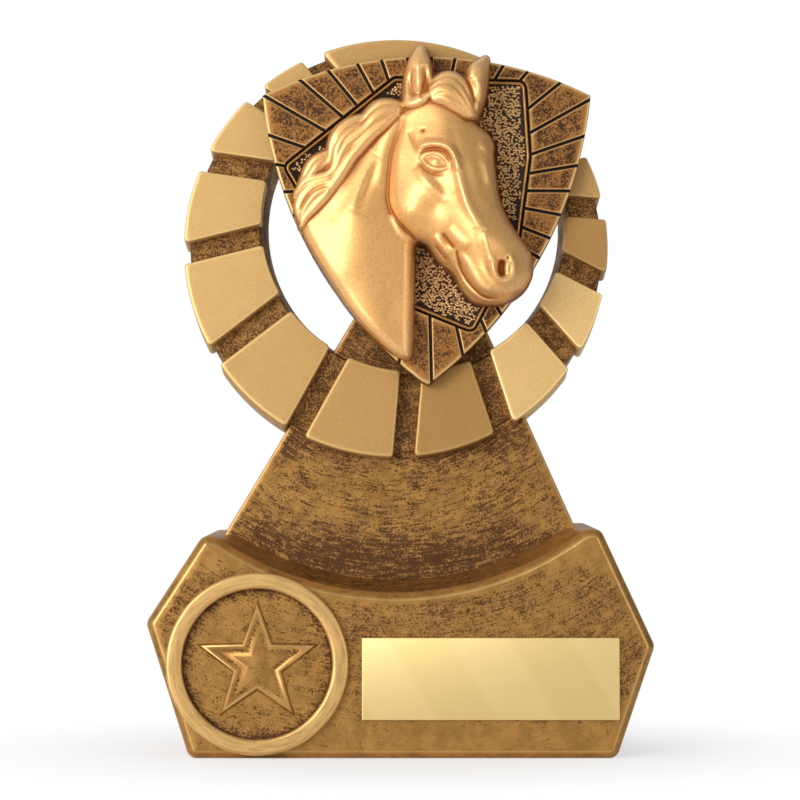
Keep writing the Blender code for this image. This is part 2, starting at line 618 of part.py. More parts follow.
def sketch(points):
    """Pixels of the photograph as millimetres from the burst."""
    return [((u - BURST_PIXEL[0]) * PIXEL_ACROSS, (BURST_PIXEL[1] - v) * PIXEL_UP) for u, v in points]


def smooth_curve(points, closed, steps=4):
    """A Catmull-Rom curve through points of any dimension."""
    points = [np.array(point, float) for point in points]
    count = len(points)
    result = []
    for index in range(count if closed else count - 1):
        picks = [index + k if closed else min(max(index + k, 0), count - 1) for k in (-1, 0, 1, 2)]
        a, b, c, d = (points[pick % count] for pick in picks)
        for t in np.arange(steps) / steps:
            bend, twist = 2 * a - 5 * b + 4 * c - d, 3 * b - a - 3 * c + d
            result.append(b + 0.5 * t * (c - a + t * (bend + t * twist)))
    if not closed:
        result.append(points[-1])
    return np.array(result)


def along(curve, across, up):
    """Distance from each place to a curve, and the share of the curve's length passed there."""
    best = np.full(across.shape, np.inf)
    where = np.zeros(across.shape)
    lengths = np.hypot(*np.diff(curve[:, :2], axis=0).T)
    passed = 0.0
    for start, end, length in zip(curve[:-1], curve[1:], lengths):
        dx, ds = (end[0] - start[0]) / length, (end[1] - start[1]) / length
        t = np.clip((across - start[0]) * dx + (up - start[1]) * ds, 0.0, length)
        gap = np.hypot(across - start[0] - dx * t, up - start[1] - ds * t)
        where = np.where(gap < best, (passed + t) / lengths.sum(), where)
        best = np.minimum(gap, best)
        passed += length
    return best, where


def depth_inside(outline, across, up):
    """Signed distance to a closed outline, positive inside."""
    ring = np.vstack([outline, outline[:1]])
    inside = np.zeros(across.shape, bool)
    for (ax, ay), (bx, by) in zip(ring[:-1], ring[1:]):
        if ay != by:
            inside ^= ((ay > up) != (by > up)) & (across < (bx - ax) * (up - ay) / (by - ay) + ax)
    gap, _ = along(ring, across, up)
    return np.where(inside, gap, -gap)


def through(landmarks, across, up):
    """A smooth thin-plate surface near the heights of the named landmarks."""
    rows = np.array([(*sketch([(u, v)])[0], height) for u, v, height in landmarks.values()])
    count = len(rows)

    def spring(squared):
        return 0.5 * squared * np.log(np.maximum(squared, 1e-9))

    apart = (rows[:, None, 0] - rows[None, :, 0]) ** 2 + (rows[:, None, 1] - rows[None, :, 1]) ** 2
    stiff = spring(apart) + np.eye(count) * LANDMARK_GIVE
    flat = np.column_stack([np.ones(count), rows[:, 0], rows[:, 1]])
    system = np.block([[stiff, flat], [flat.T, np.zeros((3, 3))]])
    weights = np.linalg.solve(system, np.concatenate([rows[:, 2], np.zeros(3)]))
    surface = weights[count] + weights[count + 1] * across + weights[count + 2] * up
    for (x, s, _), weight in zip(rows, weights):
        surface = surface + weight * spring((across - x) ** 2 + (up - s) ** 2)
    return surface


def rounding(depth, radius):
    """How far a form drops at its outline: a quarter round, then a steep wall."""
    inner = np.clip(depth / radius, 0.0, 1.0)
    drop = radius * (1.0 - np.sqrt(1.0 - (1.0 - inner) ** 2))
    return drop + np.maximum(-depth, 0.0) * WALL_SLOPE


def merged(first, second, soft):
    """The higher of two surfaces, with the crease between them softened."""
    near = np.maximum(soft - np.abs(first - second), 0.0) / soft
    return np.maximum(first, second) + near ** 2 * soft * 0.25


def lock(points, across, up):
    """A rounded lock of hair."""
    placed = sketch([point[:2] for point in points])
    curve = smooth_curve([(*xy, *point[2:]) for xy, point in zip(placed, points)], False)
    gap, where = along(curve, across, up)
    passed = np.concatenate([[0.0], np.cumsum(np.hypot(*np.diff(curve[:, :2], axis=0).T))])
    top = np.interp(where, passed / passed[-1], curve[:, 2])
    radius = np.interp(where, passed / passed[-1], curve[:, 3])
    round_off = 1.0 - np.sqrt(1.0 - np.minimum(gap / radius, 1.0) ** 2)
    return top - radius * LOCK_FULLNESS * round_off - np.maximum(gap - radius, 0.0) * WALL_SLOPE


def strokes(lines, across, up):
    """The sum of soft ridges and hollows, each thinning out towards its ends."""
    total = np.zeros(across.shape)
    for points, width, height in lines:
        gap, where = along(smooth_curve(sketch(points), False), across, up)
        thin = np.sqrt(np.clip(4.0 * where * (1.0 - where), 0.0, 1.0))
        total += height * thin * np.exp(-(gap / width) ** 2)
    return total


def horse_height(across, up):
    """Height of the horse's surface over the leaning frame, in millimetres."""

    def form(outline, heights, lines, radius):
        depth = depth_inside(smooth_curve(sketch(outline), True), across, up)
        return through(heights, across, up) + strokes(lines, across, up) - rounding(depth, radius)

    surface = form(NECK_OUTLINE, NECK_HEIGHTS, NECK_STROKES, NECK_ROUNDING)
    for points in MANE:
        surface = merged(surface, lock(points, across, up), HAIR_CREASE)
    head = form(HEAD_OUTLINE, HEAD_HEIGHTS, FACE_STROKES, HEAD_ROUNDING)
    surface = merged(surface, head, HEAD_CREASE)
    surface = merged(surface, form(FAR_EAR_OUTLINE, FAR_EAR_HEIGHTS, (), FAR_EAR_ROUNDING), EAR_CREASE)
    for points in FORELOCK:
        surface = merged(surface, lock(points, across, up), HAIR_CREASE)
    near_ear = form(NEAR_EAR_OUTLINE, NEAR_EAR_HEIGHTS, EAR_STROKES, NEAR_EAR_ROUNDING)
    return merged(surface, near_ear, EAR_CREASE)


def horse():
    """The horse's head and neck as a closed solid rooted in the shield plate."""
    lines = np.arange(HORSE_LEFT, HORSE_RIGHT, HORSE_STEP)
    rows = np.arange(HORSE_BOTTOM, HORSE_TOP, HORSE_STEP)
    across, up = np.meshgrid(lines, rows)
    lift = SHIELD_FRONT / MM - SKETCH_SEAT
    height = np.maximum(horse_height(across, up) + lift, HORSE_ROOT)
    raised = height > HORSE_ROOT
    cells = raised[:-1, :-1] | raised[1:, :-1] | raised[:-1, 1:] | raised[1:, 1:]
    while True:
        falling = cells[:-1, :-1] & cells[1:, 1:] & ~cells[1:, :-1] & ~cells[:-1, 1:]
        rising = cells[1:, :-1] & cells[:-1, 1:] & ~cells[:-1, :-1] & ~cells[1:, 1:]
        if not (falling.any() or rising.any()):
            break
        cells[1:, :-1] |= falling
        cells[:-1, :-1] |= rising
    shape = bmesh.new()
    skins = []
    for low in (False, True):
        points = {}
        for row, line in zip(*np.nonzero(cells)):
            for key in ((row, line), (row, line + 1), (row + 1, line + 1), (row + 1, line)):
                if key not in points:
                    out = HORSE_UNDERSIDE if low else height[key]
                    x, z = BURST[0] + across[key] * MM, BURST[1] + up[key] * MM
                    points[key] = shape.verts.new(panel_point(x, z, out * MM))
        skins.append(points)
    top, bottom = skins
    for row, line in zip(*np.nonzero(cells)):
        corners = ((row, line), (row, line + 1), (row + 1, line + 1), (row + 1, line))
        shape.faces.new([top[key] for key in corners])
        shape.faces.new([bottom[key] for key in reversed(corners)])
        for first, second, step_row, step_line in zip(
                corners, corners[1:] + corners[:1], (-1, 0, 1, 0), (0, 1, 0, -1)):
            beside = (row + step_row, line + step_line)
            if not cells[beside]:
                shape.faces.new((bottom[first], bottom[second], top[second], top[first]))
    bmesh.ops.recalc_face_normals(shape, faces=shape.faces)
    mesh = bpy.data.meshes.new("horse")
    shape.to_mesh(mesh)
    shape.free()
    item = make_object("horse", mesh)
    thin = item.modifiers.new("thin", "DECIMATE")
    thin.ratio = HORSE_TRIANGLES / (2 * len(mesh.polygons))
    return item


def shield():
    """The shield plate with its sunk panel and the horse."""
    plate = slab("horse_shield", shield_outline(), panel_point, SHIELD_BACK, SHIELD_FRONT, SHIELD_BEVEL)
    levels = (PANEL_FLOOR, SHIELD_FRONT + SHIELD_THICK)
    above, below = SHIELD_TOP_AT - BURST[1], BURST[1] - SHIELD_TIP_AT
    corners = [(SHIELD_AXIS + x * SHIELD_HALF_WIDTH, BURST[1] + z * (above if z > 0 else below))
               for x, z in PANEL_CORNERS]
    panel = rounded(corners, PANEL_CORNER_RADIUS)
    sunk = loft("panel_cut", [[panel_point(x, z, out) for x, z in panel] for out in levels])
    combine(plate, [sunk], "DIFFERENCE")
    combine(plate, [horse()], "UNION")
    plate.data.materials.clear()
    plate.data.materials.append(paint("polished_gold", (0.83, 0.52, 0.20), 0.28, 1.0))
    return plate


def main():
    """Build the trophy."""
    clear_scene()
    pieces = [stand(), shield(), engraving_plate()]
    for piece in pieces:
        piece.data.shade_smooth()
        piece.data.set_sharp_from_angle(angle=math.radians(30.0))


main()
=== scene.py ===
"""Horse trophy: the looks of its cast stand, its shield with a horse's head, and its engraving plate."""

import math

import bmesh
import bpy
import numpy as np
from bpy.props import FloatProperty, FloatVectorProperty, IntProperty, PointerProperty
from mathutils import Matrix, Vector


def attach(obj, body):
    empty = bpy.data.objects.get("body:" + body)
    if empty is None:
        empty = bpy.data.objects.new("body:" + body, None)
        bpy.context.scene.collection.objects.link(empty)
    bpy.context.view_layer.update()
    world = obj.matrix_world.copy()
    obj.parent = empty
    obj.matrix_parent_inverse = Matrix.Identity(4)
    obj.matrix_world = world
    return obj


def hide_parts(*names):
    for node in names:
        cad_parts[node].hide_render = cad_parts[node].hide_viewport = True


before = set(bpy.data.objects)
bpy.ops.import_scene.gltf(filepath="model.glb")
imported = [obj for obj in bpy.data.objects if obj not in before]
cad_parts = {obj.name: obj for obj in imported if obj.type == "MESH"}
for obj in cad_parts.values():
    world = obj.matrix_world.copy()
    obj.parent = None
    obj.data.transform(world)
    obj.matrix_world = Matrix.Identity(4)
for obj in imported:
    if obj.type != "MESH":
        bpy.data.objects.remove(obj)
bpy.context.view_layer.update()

bl_info = {
    "name": "Horse Trophy",
    "version": (1, 0, 0),
    "blender": (4, 5, 0),
    "location": "3D View > Sidebar > Trophy",
    "description": "Makes the surfaces of a small cast trophy with a horse's head",
    "category": "Object",
}

MM = 0.001
ARC_STEP = math.radians(2.0)

# Base: points along its top, sections along its depth, and the rounding where the scoop meets the top
TOP_STATIONS = 181
DEPTH_STATIONS = 22
DIP_ROUNDING = 0.9 * MM
LEAST_CORNER = 0.35 * MM

# Stem
STEM_CORNER = 1.8 * MM
BUTTRESS_INSET = 1.5 * MM

# Ring's core: sections round it, its edges' rounding, and how far its hole clears the blocks' inner faces
RING_STATIONS = 240
RING_EDGE = 0.3 * MM
RING_CLEARANCE = 0.3 * MM
RING_HOLLOW = 0.18

# Rows across a tile, and how far the panel's wall runs out over its edge and in at its foot
TILE_STATIONS = 9
PANEL_LIP = 0.55 * MM
PANEL_WALL_FOOT = 0.35 * MM

# Pebbled ground, in millimetres from the burst: its reach, the spacing of its points, its margin to the
# panel's wall, and how high over the floor the horse may stand where the ground still runs under it
GROUND_LEFT, GROUND_RIGHT = -26.0, 20.0
GROUND_LOW, GROUND_HIGH = -27.0, 22.0
GROUND_STEP = 0.8
GROUND_MARGIN = 0.75
GROUND_UNDER_HORSE = 2.5
PEBBLE_DENSITY = 9.0e6
PEBBLE_LEAST, PEBBLE_MOST = (0.75, 0.75, 0.55), (1.25, 1.0, 1.0)

# Antique gold: scale of its mottling, its roughness, and the shares of fine grain, patches and clouds
ANTIQUE_GRAIN = 3000.0
ANTIQUE_ROUGHNESS = 0.42
FINE_SHARE, PATCH_SHARE, CLOUD_SHARE = 0.58, 0.24, 0.18

# Stage: name, place, width and power of each light, what they look at, and the room's glow
LIGHTS = (("key", (-0.55, -0.66, 0.30), 0.5, 5.2), ("fill", (0.65, -0.55, 0.25), 0.5, 1.2))
LIGHT_TARGET = (0.0, 0.0, 0.065)
GLOW_LEFT, GLOW_ABOVE, GLOW_ALL_ROUND = 0.45, 0.12, 0.2
SENSOR_WIDTH = 36.0
NEAREST_SEEN = 0.01


def length(name, description, millimetres):
    """A length, with its default in millimetres."""
    return FloatProperty(name=name, description=description, default=millimetres * MM,
                         unit="LENGTH", precision=5)


def angle(name, description, degrees):
    """An angle, with its default in degrees."""
    return FloatProperty(name=name, description=description, default=math.radians(degrees),
                         unit="ROTATION")


def colour(name, description, red, green, blue):
    """A colour in linear values."""
    return FloatVectorProperty(name=name, description=description, default=(red, green, blue),
                               subtype="COLOR", size=3, min=0.0, max=1.0)


class BaseSizes(bpy.types.PropertyGroup):
    """The six-sided base block and the scoop in its top."""
    depth: length("Depth", "Depth of the block at its foot", 38.0)
    middle: length("Middle", "How far the block's middle lies behind the part's middle", 0.75)
    bottom_left: length("Bottom left", "Left half of the bottom edge", 36.3)
    bottom_right: length("Bottom right", "Right half of the bottom edge", 37.2)
    shoulder: length("Shoulder", "Half width at the shoulders", 43.8)
    left_height: length("Left height", "Height of the left shoulder", 23.2)
    right_height: length("Right height", "Height of the right shoulder", 19.2)
    top_left: length("Top left", "Left half of the top edge", 34.2)
    top_right: length("Top right", "Right half of the top edge", 34.5)
    top_left_height: length("Top left height", "Height of the top's left corner", 38.0)
    top_right_height: length("Top right height", "Height of the top's right corner", 39.3)
    corner: length("Corner", "Radius of the outline's corners", 1.8)
    bevel: length("Bevel", "Width of the front edge's bevel", 1.2)
    draft: length("Draft", "How much each side draws in towards the back", 1.0)
    lean: angle("Lean", "How far the front leans back", 4.0)
    scoop_radius: length("Scoop radius", "Radius of the scoop in the top", 54.5)
    scoop_floor: length("Scoop floor", "Height of the scoop behind its lip", 28.3)
    scoop_middle: length("Scoop middle", "Where the scoop is deepest", -0.9)
    scoop_rise: angle("Scoop rise", "How steeply the scoop rises to the back", 16.0)


class StemSizes(bpy.types.PropertyGroup):
    """The leaning stem."""
    lean: angle("Lean", "How far stem, ring and shield lean back", 8.0)
    setback: length("Setback", "Depth of the stem's foot behind the base's front", 10.4)
    foot_rise: length("Foot rise", "Height of the stem's foot over the scoop's floor", 1.7)
    left_ray: angle("Left ray", "Direction of the left edge from the burst", 239.5)
    right_ray: angle("Right ray", "Direction of the right edge from the burst", 293.8)
    top: length("Top", "Height of the stem's top along the lean", 60.0)
    root: length("Root", "How far the stem runs down into the base", 6.0)
    front: length("Front", "How far the stem's front stands out", 0.3)
    back: length("Back", "Depth of the stem's back", 8.5)
    foot_back: length("Foot back", "Depth of the stem's back at its foot", 17.0)
    buttress_top: length("Buttress top", "Height at which the thicker back ends", 32.0)


class RingSizes(bpy.types.PropertyGroup):
    """The open ring with its raised blocks."""
    radius: length("Radius", "Outer radius over the blocks", 37.2)
    foot: length("Foot", "Height of the ring's lowest point along the lean", 21.3)
    across: length("Across", "Where the ring's middle lies", -0.8)
    hole_across: length("Hole across", "How far the hole is off centre to the right", 3.0)
    hole_up: length("Hole up", "How far the hole is off centre upwards", 4.65)
    narrow_wall: length("Narrow wall", "Width of the ring at its narrowest", 5.1)
    back: length("Back", "Depth of the ring's back", 8.0)
    groove_front: length("Groove front", "Height of the grooves' floor", 0.6)
    groove_inset: length("Groove inset", "How far the grooves lie inside the blocks' rim", 1.1)
    groove_width: length("Groove width", "Width of a groove", 3.7)
    block_front: length("Block front", "Height of the blocks' faces", 3.0)
    block_back: length("Block back", "Depth of the blocks' backs", 7.4)
    block_corner: length("Block corner", "Radius of the blocks' corners", 1.0)
    block_edge: length("Block edge", "Rounding of the blocks' front edges", 0.35)
    block_relief: length("Block relief", "How far the blocks stay inside the outer radius", 0.05)
    hole_draft: length("Hole draft", "How much the hole narrows towards the back", 1.3)
    burst_across: length("Burst across", "Where the grooves point, from the ring's middle", 5.4)
    burst_up: length("Burst up", "Where the grooves point, up from the ring's middle", 9.5)


class MedallionSizes(bpy.types.PropertyGroup):
    """The round rim, its recess and the star."""
    radius: length("Radius", "Outer radius of the rim", 15.7)
    hole: length("Hole", "Radius of the recess", 12.9)
    proud: length("Proud", "How far the rim stands out", 1.5)
    sunk: length("Sunk", "Depth of the recess below the base's front", 0.5)
    side_gap: length("Side gap", "Gap from the base's shoulder to the rim", 3.5)
    foot_gap: length("Foot gap", "Gap from the base's bottom to the rim", 0.5)
    star: length("Star", "Radius of the star's points", 11.1)
    star_waist: FloatProperty(name="Star waist", description="Inner radius as a share of the outer",
                              default=0.41, min=0.2, max=0.9)


class ShieldSizes(bpy.types.PropertyGroup):
    """The shield plate with its tiles and its sunk panel."""
    half_width: length("Half width", "Half width at the top corners", 28.8)
    shoulder: length("Shoulder", "Height of the top corners over the burst", 16.9)
    top: length("Top", "Height of the top edge's middle over the burst", 23.9)
    tip: length("Tip", "Depth of the tip below the burst", 34.5)
    bulge: length("Bulge", "How far the sides swell out", 6.2)
    gap: length("Gap", "Gap to the ring's blocks", 0.3)
    thick: length("Thickness", "Thickness of the plate", 3.0)
    bevel: length("Bevel", "Rounding of the plate's front edge", 0.4)
    groove_width: length("Groove width", "Width of the grooves between the tiles", 0.52)
    groove_depth: length("Groove depth", "Depth of the grooves between the tiles", 0.5)
    panel_sunk: length("Panel sunk", "Depth of the sunk panel", 0.75)
    panel_corner: length("Panel corner", "Radius of the panel's corners", 1.2)
    border: length("Border", "Radius of the raised line round the panel", 0.26)
    pebble: length("Pebble", "Radius of a pebble of the panel", 0.27)
    pebble_gap: length("Pebble gap", "Least distance between pebbles", 0.30)
    seed: IntProperty(name="Seed", description="Seed of the pebbles", default=7)


class HorseSizes(bpy.types.PropertyGroup):
    """The horse's head and neck."""
    mesh_step: length("Mesh step", "Spacing of the carved surface's points", 0.19)
    root: length("Root", "Height in the plate at which the carving starts", 5.0)
    underside: length("Underside", "Height of the carving's hidden back", 4.2)


class PlateSizes(bpy.types.PropertyGroup):
    """The engraving plate."""
    gap: length("Gap", "Gap from the medallion to the plate", 2.3)
    margin: length("Margin", "Gap from the plate to the base's right shoulder", 6.2)
    bottom: length("Bottom", "Height of the plate's lower edge", 6.6)
    height: length("Height", "Height of the plate", 14.1)
    thick: length("Thickness", "Thickness of the plate", 0.5)
    glue: length("Glue", "Gap to the base", 0.3)


class Finishes(bpy.types.PropertyGroup):
    """The colours of the paints and washes."""
    antique: colour("Antique gold", "Rubbed gold of the stand", 0.50, 0.250, 0.064)
    wash: colour("Brown wash", "Dark wash of the stand", 0.092, 0.037, 0.011)
    sandy: colour("Sandy gold", "Paint of the ring's blocks", 0.70, 0.43, 0.15)
    # The bright edge colour is rubbed gold and painted highlight on the edges
    bright: colour("Bright edge", "Rubbed edges", 0.80, 0.55, 0.23)
    tile: colour("Tile gold", "Rubbed gold of the tiles", 0.38, 0.160, 0.034)
    tile_wash: colour("Tile wash", "Dark wash of the tiles", 0.048, 0.018, 0.006)
    pebble: colour("Pebble gold", "Rubbed tops of the pebbles", 0.62, 0.40, 0.18)
    soot: colour("Soot", "Darkest wash in grooves", 0.016, 0.009, 0.006)
    horse: colour("Horse gold", "Polished gold of the horse", 0.80, 0.430, 0.140)
    # The horse shade colour is painted shade in the horse's creases
    horse_shade: colour("Horse shade", "Orange wash in the horse's creases", 0.36, 0.11, 0.012)
    plate: colour("Plate gold", "Pale gold of the engraving plate", 0.86, 0.66, 0.29)
    rim: colour("Rim gold", "Brushed gold of the medallion's rim", 0.76, 0.46, 0.165)


class StageSizes(bpy.types.PropertyGroup):
    """Floor, lights and camera."""
    floor: length("Floor", "Width of the floor", 8000.0)
    distance: length("Distance", "Distance of the camera from the part's middle", 700.0)
    height: length("Height", "Height of the camera", 61.5)
    offset: length("Offset", "How far the camera stands to the right", -0.07)
    lens: FloatProperty(name="Lens", description="Focal length in millimetres", default=179.0)


class TrophySettings(bpy.types.PropertyGroup):
    """Everything that a user would change."""
    base: PointerProperty(type=BaseSizes)
    stem: PointerProperty(type=StemSizes)
    ring: PointerProperty(type=RingSizes)
    medallion: PointerProperty(type=MedallionSizes)
    shield: PointerProperty(type=ShieldSizes)
    horse: PointerProperty(type=HorseSizes)
    plate: PointerProperty(type=PlateSizes)
    finishes: PointerProperty(type=Finishes)
    stage: PointerProperty(type=StageSizes)


def settings():
    """The trophy's settings in the current scene."""
    return bpy.context.scene.trophy


# Grooves of the ring and of the shield, as directions from the burst in degrees
RING_GROOVES = (
    17.0, 38.5, 60.0, 129.5, 149.5, 171.5, 194.1, 217.8, 241.4, 265.0, 287.9, 311.2, 332.7, 355.0,
)
TILE_GROOVES = (
    -0.4, 9.4, 19.2, 29.4, 39.2, 50.0, 58.8, 68.0, 78.0, 88.0, 98.0, 108.8, 118.3, 129.0, 138.5,
    149.4, 160.5, 170.2, 180.7, 191.0, 201.0, 211.0, 221.0, 231.0, 241.0, 251.0, 261.0, 271.4,
    282.1, 292.3, 300.5, 310.0, 319.0, 328.4, 338.3, 349.3,
)

# How brightly each block is painted, from the groove before it: partly the paint's own tone, partly painted
# shade on the blocks turned from the light and painted highlight on the brightest
BLOCK_TONES_AND_SHADE = (1.0, 1.0, 0.86, 0.95, 1.0, 1.0, 1.0, 0.90, 0.80, 0.66, 1.16, 1.24, 0.70, 0.85)

# Corners of the sunk panel, in millimetres from the burst
PANEL_CORNERS = (
    (-24.9, 4.3), (-5.6, 20.0), (17.2, 19.3), (18.0, 6.0), (15.9, -9.5), (8.0, -25.0),
    (-7.6, -18.5), (-20.6, -3.0),
)


def base_front():
    """Depth of the base's front edge at its foot."""
    base = settings().base
    return base.middle - base.depth / 2


def front_point(across, up, out):
    """A point on the base's leaning front: up is measured along the face, out is its normal."""
    lean = settings().base.lean
    sine, cosine = math.sin(lean), math.cos(lean)
    return Vector((across, base_front() + up * sine - out * cosine, up * cosine + out * sine))


def panel_foot():
    """The lowest point of the leaning frame that stem, ring and shield share."""
    base, stem = settings().base, settings().stem
    return Vector((0.0, base_front() + stem.setback, base.scoop_floor + stem.foot_rise))


def panel_point(across, up, out):
    """A point of the leaning frame: across is X, up runs along the lean, out faces the viewer."""
    lean = settings().stem.lean
    sine, cosine = math.sin(lean), math.cos(lean)
    return panel_foot() + Vector((across, up * sine - out * cosine, up * cosine + out * sine))


def ring_centre():
    """Middle of the ring in the leaning frame."""
    ring = settings().ring
    return Vector((ring.across, ring.foot + ring.radius))


def hole_circle():
    """Middle and radius of the ring's hole."""
    ring = settings().ring
    shift = Vector((ring.hole_across, ring.hole_up))
    return ring_centre() + shift, ring.radius - ring.narrow_wall - shift.length


def burst():
    """The point that all the grooves point at."""
    ring = settings().ring
    return ring_centre() + Vector((ring.burst_across, ring.burst_up))


def medallion_centre():
    """Middle of the medallion on the base's front."""
    base, medallion = settings().base, settings().medallion
    return Vector((medallion.radius + medallion.side_gap - base.shoulder,
                   medallion.radius + medallion.foot_gap))


def arc(centre, radius, start, end):
    """Points along an arc, both ends included."""
    count = max(2, math.ceil(abs(end - start) / ARC_STEP))
    turns = (start + (end - start) * index / count for index in range(count + 1))
    return [(centre[0] + radius * math.cos(a), centre[1] + radius * math.sin(a)) for a in turns]


def circle(centre, radius):
    """A full circle without its repeated last point."""
    return arc(centre, radius, 0.0, 2 * math.pi)[:-1]


def fillet(before, corner, after, radius, count=5):
    """The points that round one corner."""
    before, corner, after = Vector(before), Vector(corner), Vector(after)
    to_before, to_after = (before - corner).normalized(), (after - corner).normalized()
    half = to_before.angle(to_after) / 2
    centre = corner + (to_before + to_after).normalized() * (radius / math.sin(half))
    first = corner + to_before * (radius / math.tan(half)) - centre
    last = corner + to_after * (radius / math.tan(half)) - centre
    points = []
    for index in range(count + 1):
        share = index / count
        direction = (first * (1 - share) + last * share).normalized()
        points.append(tuple(centre + direction * radius))
    return points


def rounded(points, radius, count=5):
    """A closed outline with each corner rounded."""
    result = []
    for index, corner in enumerate(points):
        result += fillet(points[index - 1], corner, points[(index + 1) % len(points)], radius, count)
    return result


def inset(points, amount):
    """A closed outline moved inwards by amount."""
    pairs = list(zip(points, points[1:] + points[:1]))
    side = 1.0 if sum(a[0] * b[1] - b[0] * a[1] for a, b in pairs) > 0 else -1.0
    result = []
    for index, point in enumerate(points):
        here = Vector(point)
        into = (here - Vector(points[index - 1])).normalized()
        away = (Vector(points[(index + 1) % len(points)]) - here).normalized()
        normal_in = Vector((-into.y, into.x)) * side
        normal_out = Vector((-away.y, away.x)) * side
        middle = (normal_in + normal_out).normalized()
        result.append(tuple(here + middle * (amount / max(0.35, middle.dot(normal_in)))))
    return result


def piece(name, points, faces, marks=(), edges=()):
    """A mesh object from points and faces or edges, with a value per point for each named mark."""
    mesh = bpy.data.meshes.new(name)
    mesh.from_pydata([tuple(point) for point in points], list(edges), faces)
    for label, values in marks:
        mesh.attributes.new(label, "FLOAT", "POINT").data.foreach_set(
            "value", np.asarray(values, np.float32))
    mesh.update()
    item = bpy.data.objects.new(name, mesh)
    bpy.context.scene.collection.objects.link(item)
    return item


def face_outwards(item):
    """Make the faces of a closed mesh point outwards."""
    shape = bmesh.new()
    shape.from_mesh(item.data)
    bmesh.ops.recalc_face_normals(shape, faces=shape.faces)
    shape.to_mesh(item.data)
    shape.free()


def lofted(name, sections, worn=None, closed=False):
    """A solid through outlines of equal count, with each section's edge wear and painted highlight as its
    third argument.
    A closed one runs round to its first section again and has no ends."""
    count = len(sections[0])
    faces = []
    pairs = list(zip(range(len(sections)), range(1, len(sections))))
    if closed:
        pairs.append((len(sections) - 1, 0))
    for low, high in pairs:
        for index in range(count):
            after = (index + 1) % count
            faces.append((low * count + index, low * count + after,
                          high * count + after, high * count + index))
    if not closed:
        faces.append(tuple(reversed(range(count))))
        faces.append(tuple(range((len(sections) - 1) * count, len(sections) * count)))
    points = [point for section in sections for point in section]
    wear_and_highlight = np.repeat(worn if worn is not None else np.zeros(len(sections)), count)
    item = piece(name, points, faces, (("worn", wear_and_highlight),))
    face_outwards(item)
    return item


def combine(target, other, operation):
    """Apply a Boolean of target with another object, and remove that."""
    cut = target.modifiers.new("cut", "BOOLEAN")
    cut.operation = operation
    cut.solver = "EXACT"
    cut.object = other
    replace_mesh(target)
    bpy.data.objects.remove(other, do_unlink=True)


def replace_mesh(item):
    """Turn an object's modifiers into its mesh."""
    depsgraph = bpy.context.evaluated_depsgraph_get()
    mesh = bpy.data.meshes.new_from_object(item.evaluated_get(depsgraph))
    item.modifiers.clear()
    item.data = mesh


def hand_over(item, node, sharp=35.0, material=None):
    """Shade a finished piece, give it its material, and let it ride in place of its CAD node."""
    if material:
        item.data.materials.clear()
        item.data.materials.append(material)
    item.data.shade_smooth()
    item.data.set_sharp_from_angle(angle=math.radians(sharp))
    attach(item, "root")
    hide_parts(node)


class Builder:
    """Adds and joins the nodes of a tree."""

    def __init__(self, tree):
        self.tree = tree

    def add(self, kind, inputs=(), **values):
        """A node with its settings and inputs, which are values or other nodes' outputs."""
        node = self.tree.nodes.new(kind)
        for key, value in values.items():
            setattr(node, key, value)
        for key, value in dict(inputs).items():
            if isinstance(value, bpy.types.NodeSocket):
                self.tree.links.new(value, node.inputs[key])
            else:
                node.inputs[key].default_value = value
        return node

    def sum(self, operation, first, second=0.0, third=0.0):
        """A Math node's result."""
        return self.add("ShaderNodeMath", {0: first, 1: second, 2: third}, operation=operation).outputs[0]

    def mix(self, share, first, second):
        """A colour between two colours."""
        return self.add("ShaderNodeMix", {0: share, 6: first, 7: second}, data_type="RGBA").outputs[2]

    def ramp(self, value, low, high, out_low=0.0, out_high=1.0):
        """A value eased from one range to another."""
        return self.add("ShaderNodeMapRange", {
            "Value": value, "From Min": low, "From Max": high, "To Min": out_low, "To Max": out_high,
        }, interpolation_type="SMOOTHSTEP").outputs[0]

    def noise(self, vector, scale, detail=2.0, roughness=0.55):
        """A noise value between 0 and 1."""
        return self.add("ShaderNodeTexNoise", {
            "Vector": vector, "Scale": scale, "Detail": detail, "Roughness": roughness,
        }).outputs[0]

    def mark(self, label):
        """A value that the mesh carries."""
        return self.add("ShaderNodeAttribute", attribute_name=label).outputs["Fac"]


def new_group(name, inputs, outputs):
    """An empty shader node group with named sockets, and its ends."""
    tree = bpy.data.node_groups.new(name, "ShaderNodeTree")
    for label, kind, default in inputs:
        socket = tree.interface.new_socket(label, in_out="INPUT", socket_type=kind)
        if default is not None:
            socket.default_value = default
    for label, kind in outputs:
        tree.interface.new_socket(label, in_out="OUTPUT", socket_type=kind)
    build = Builder(tree)
    return tree, build, build.add("NodeGroupInput").outputs, build.add("NodeGroupOutput").inputs


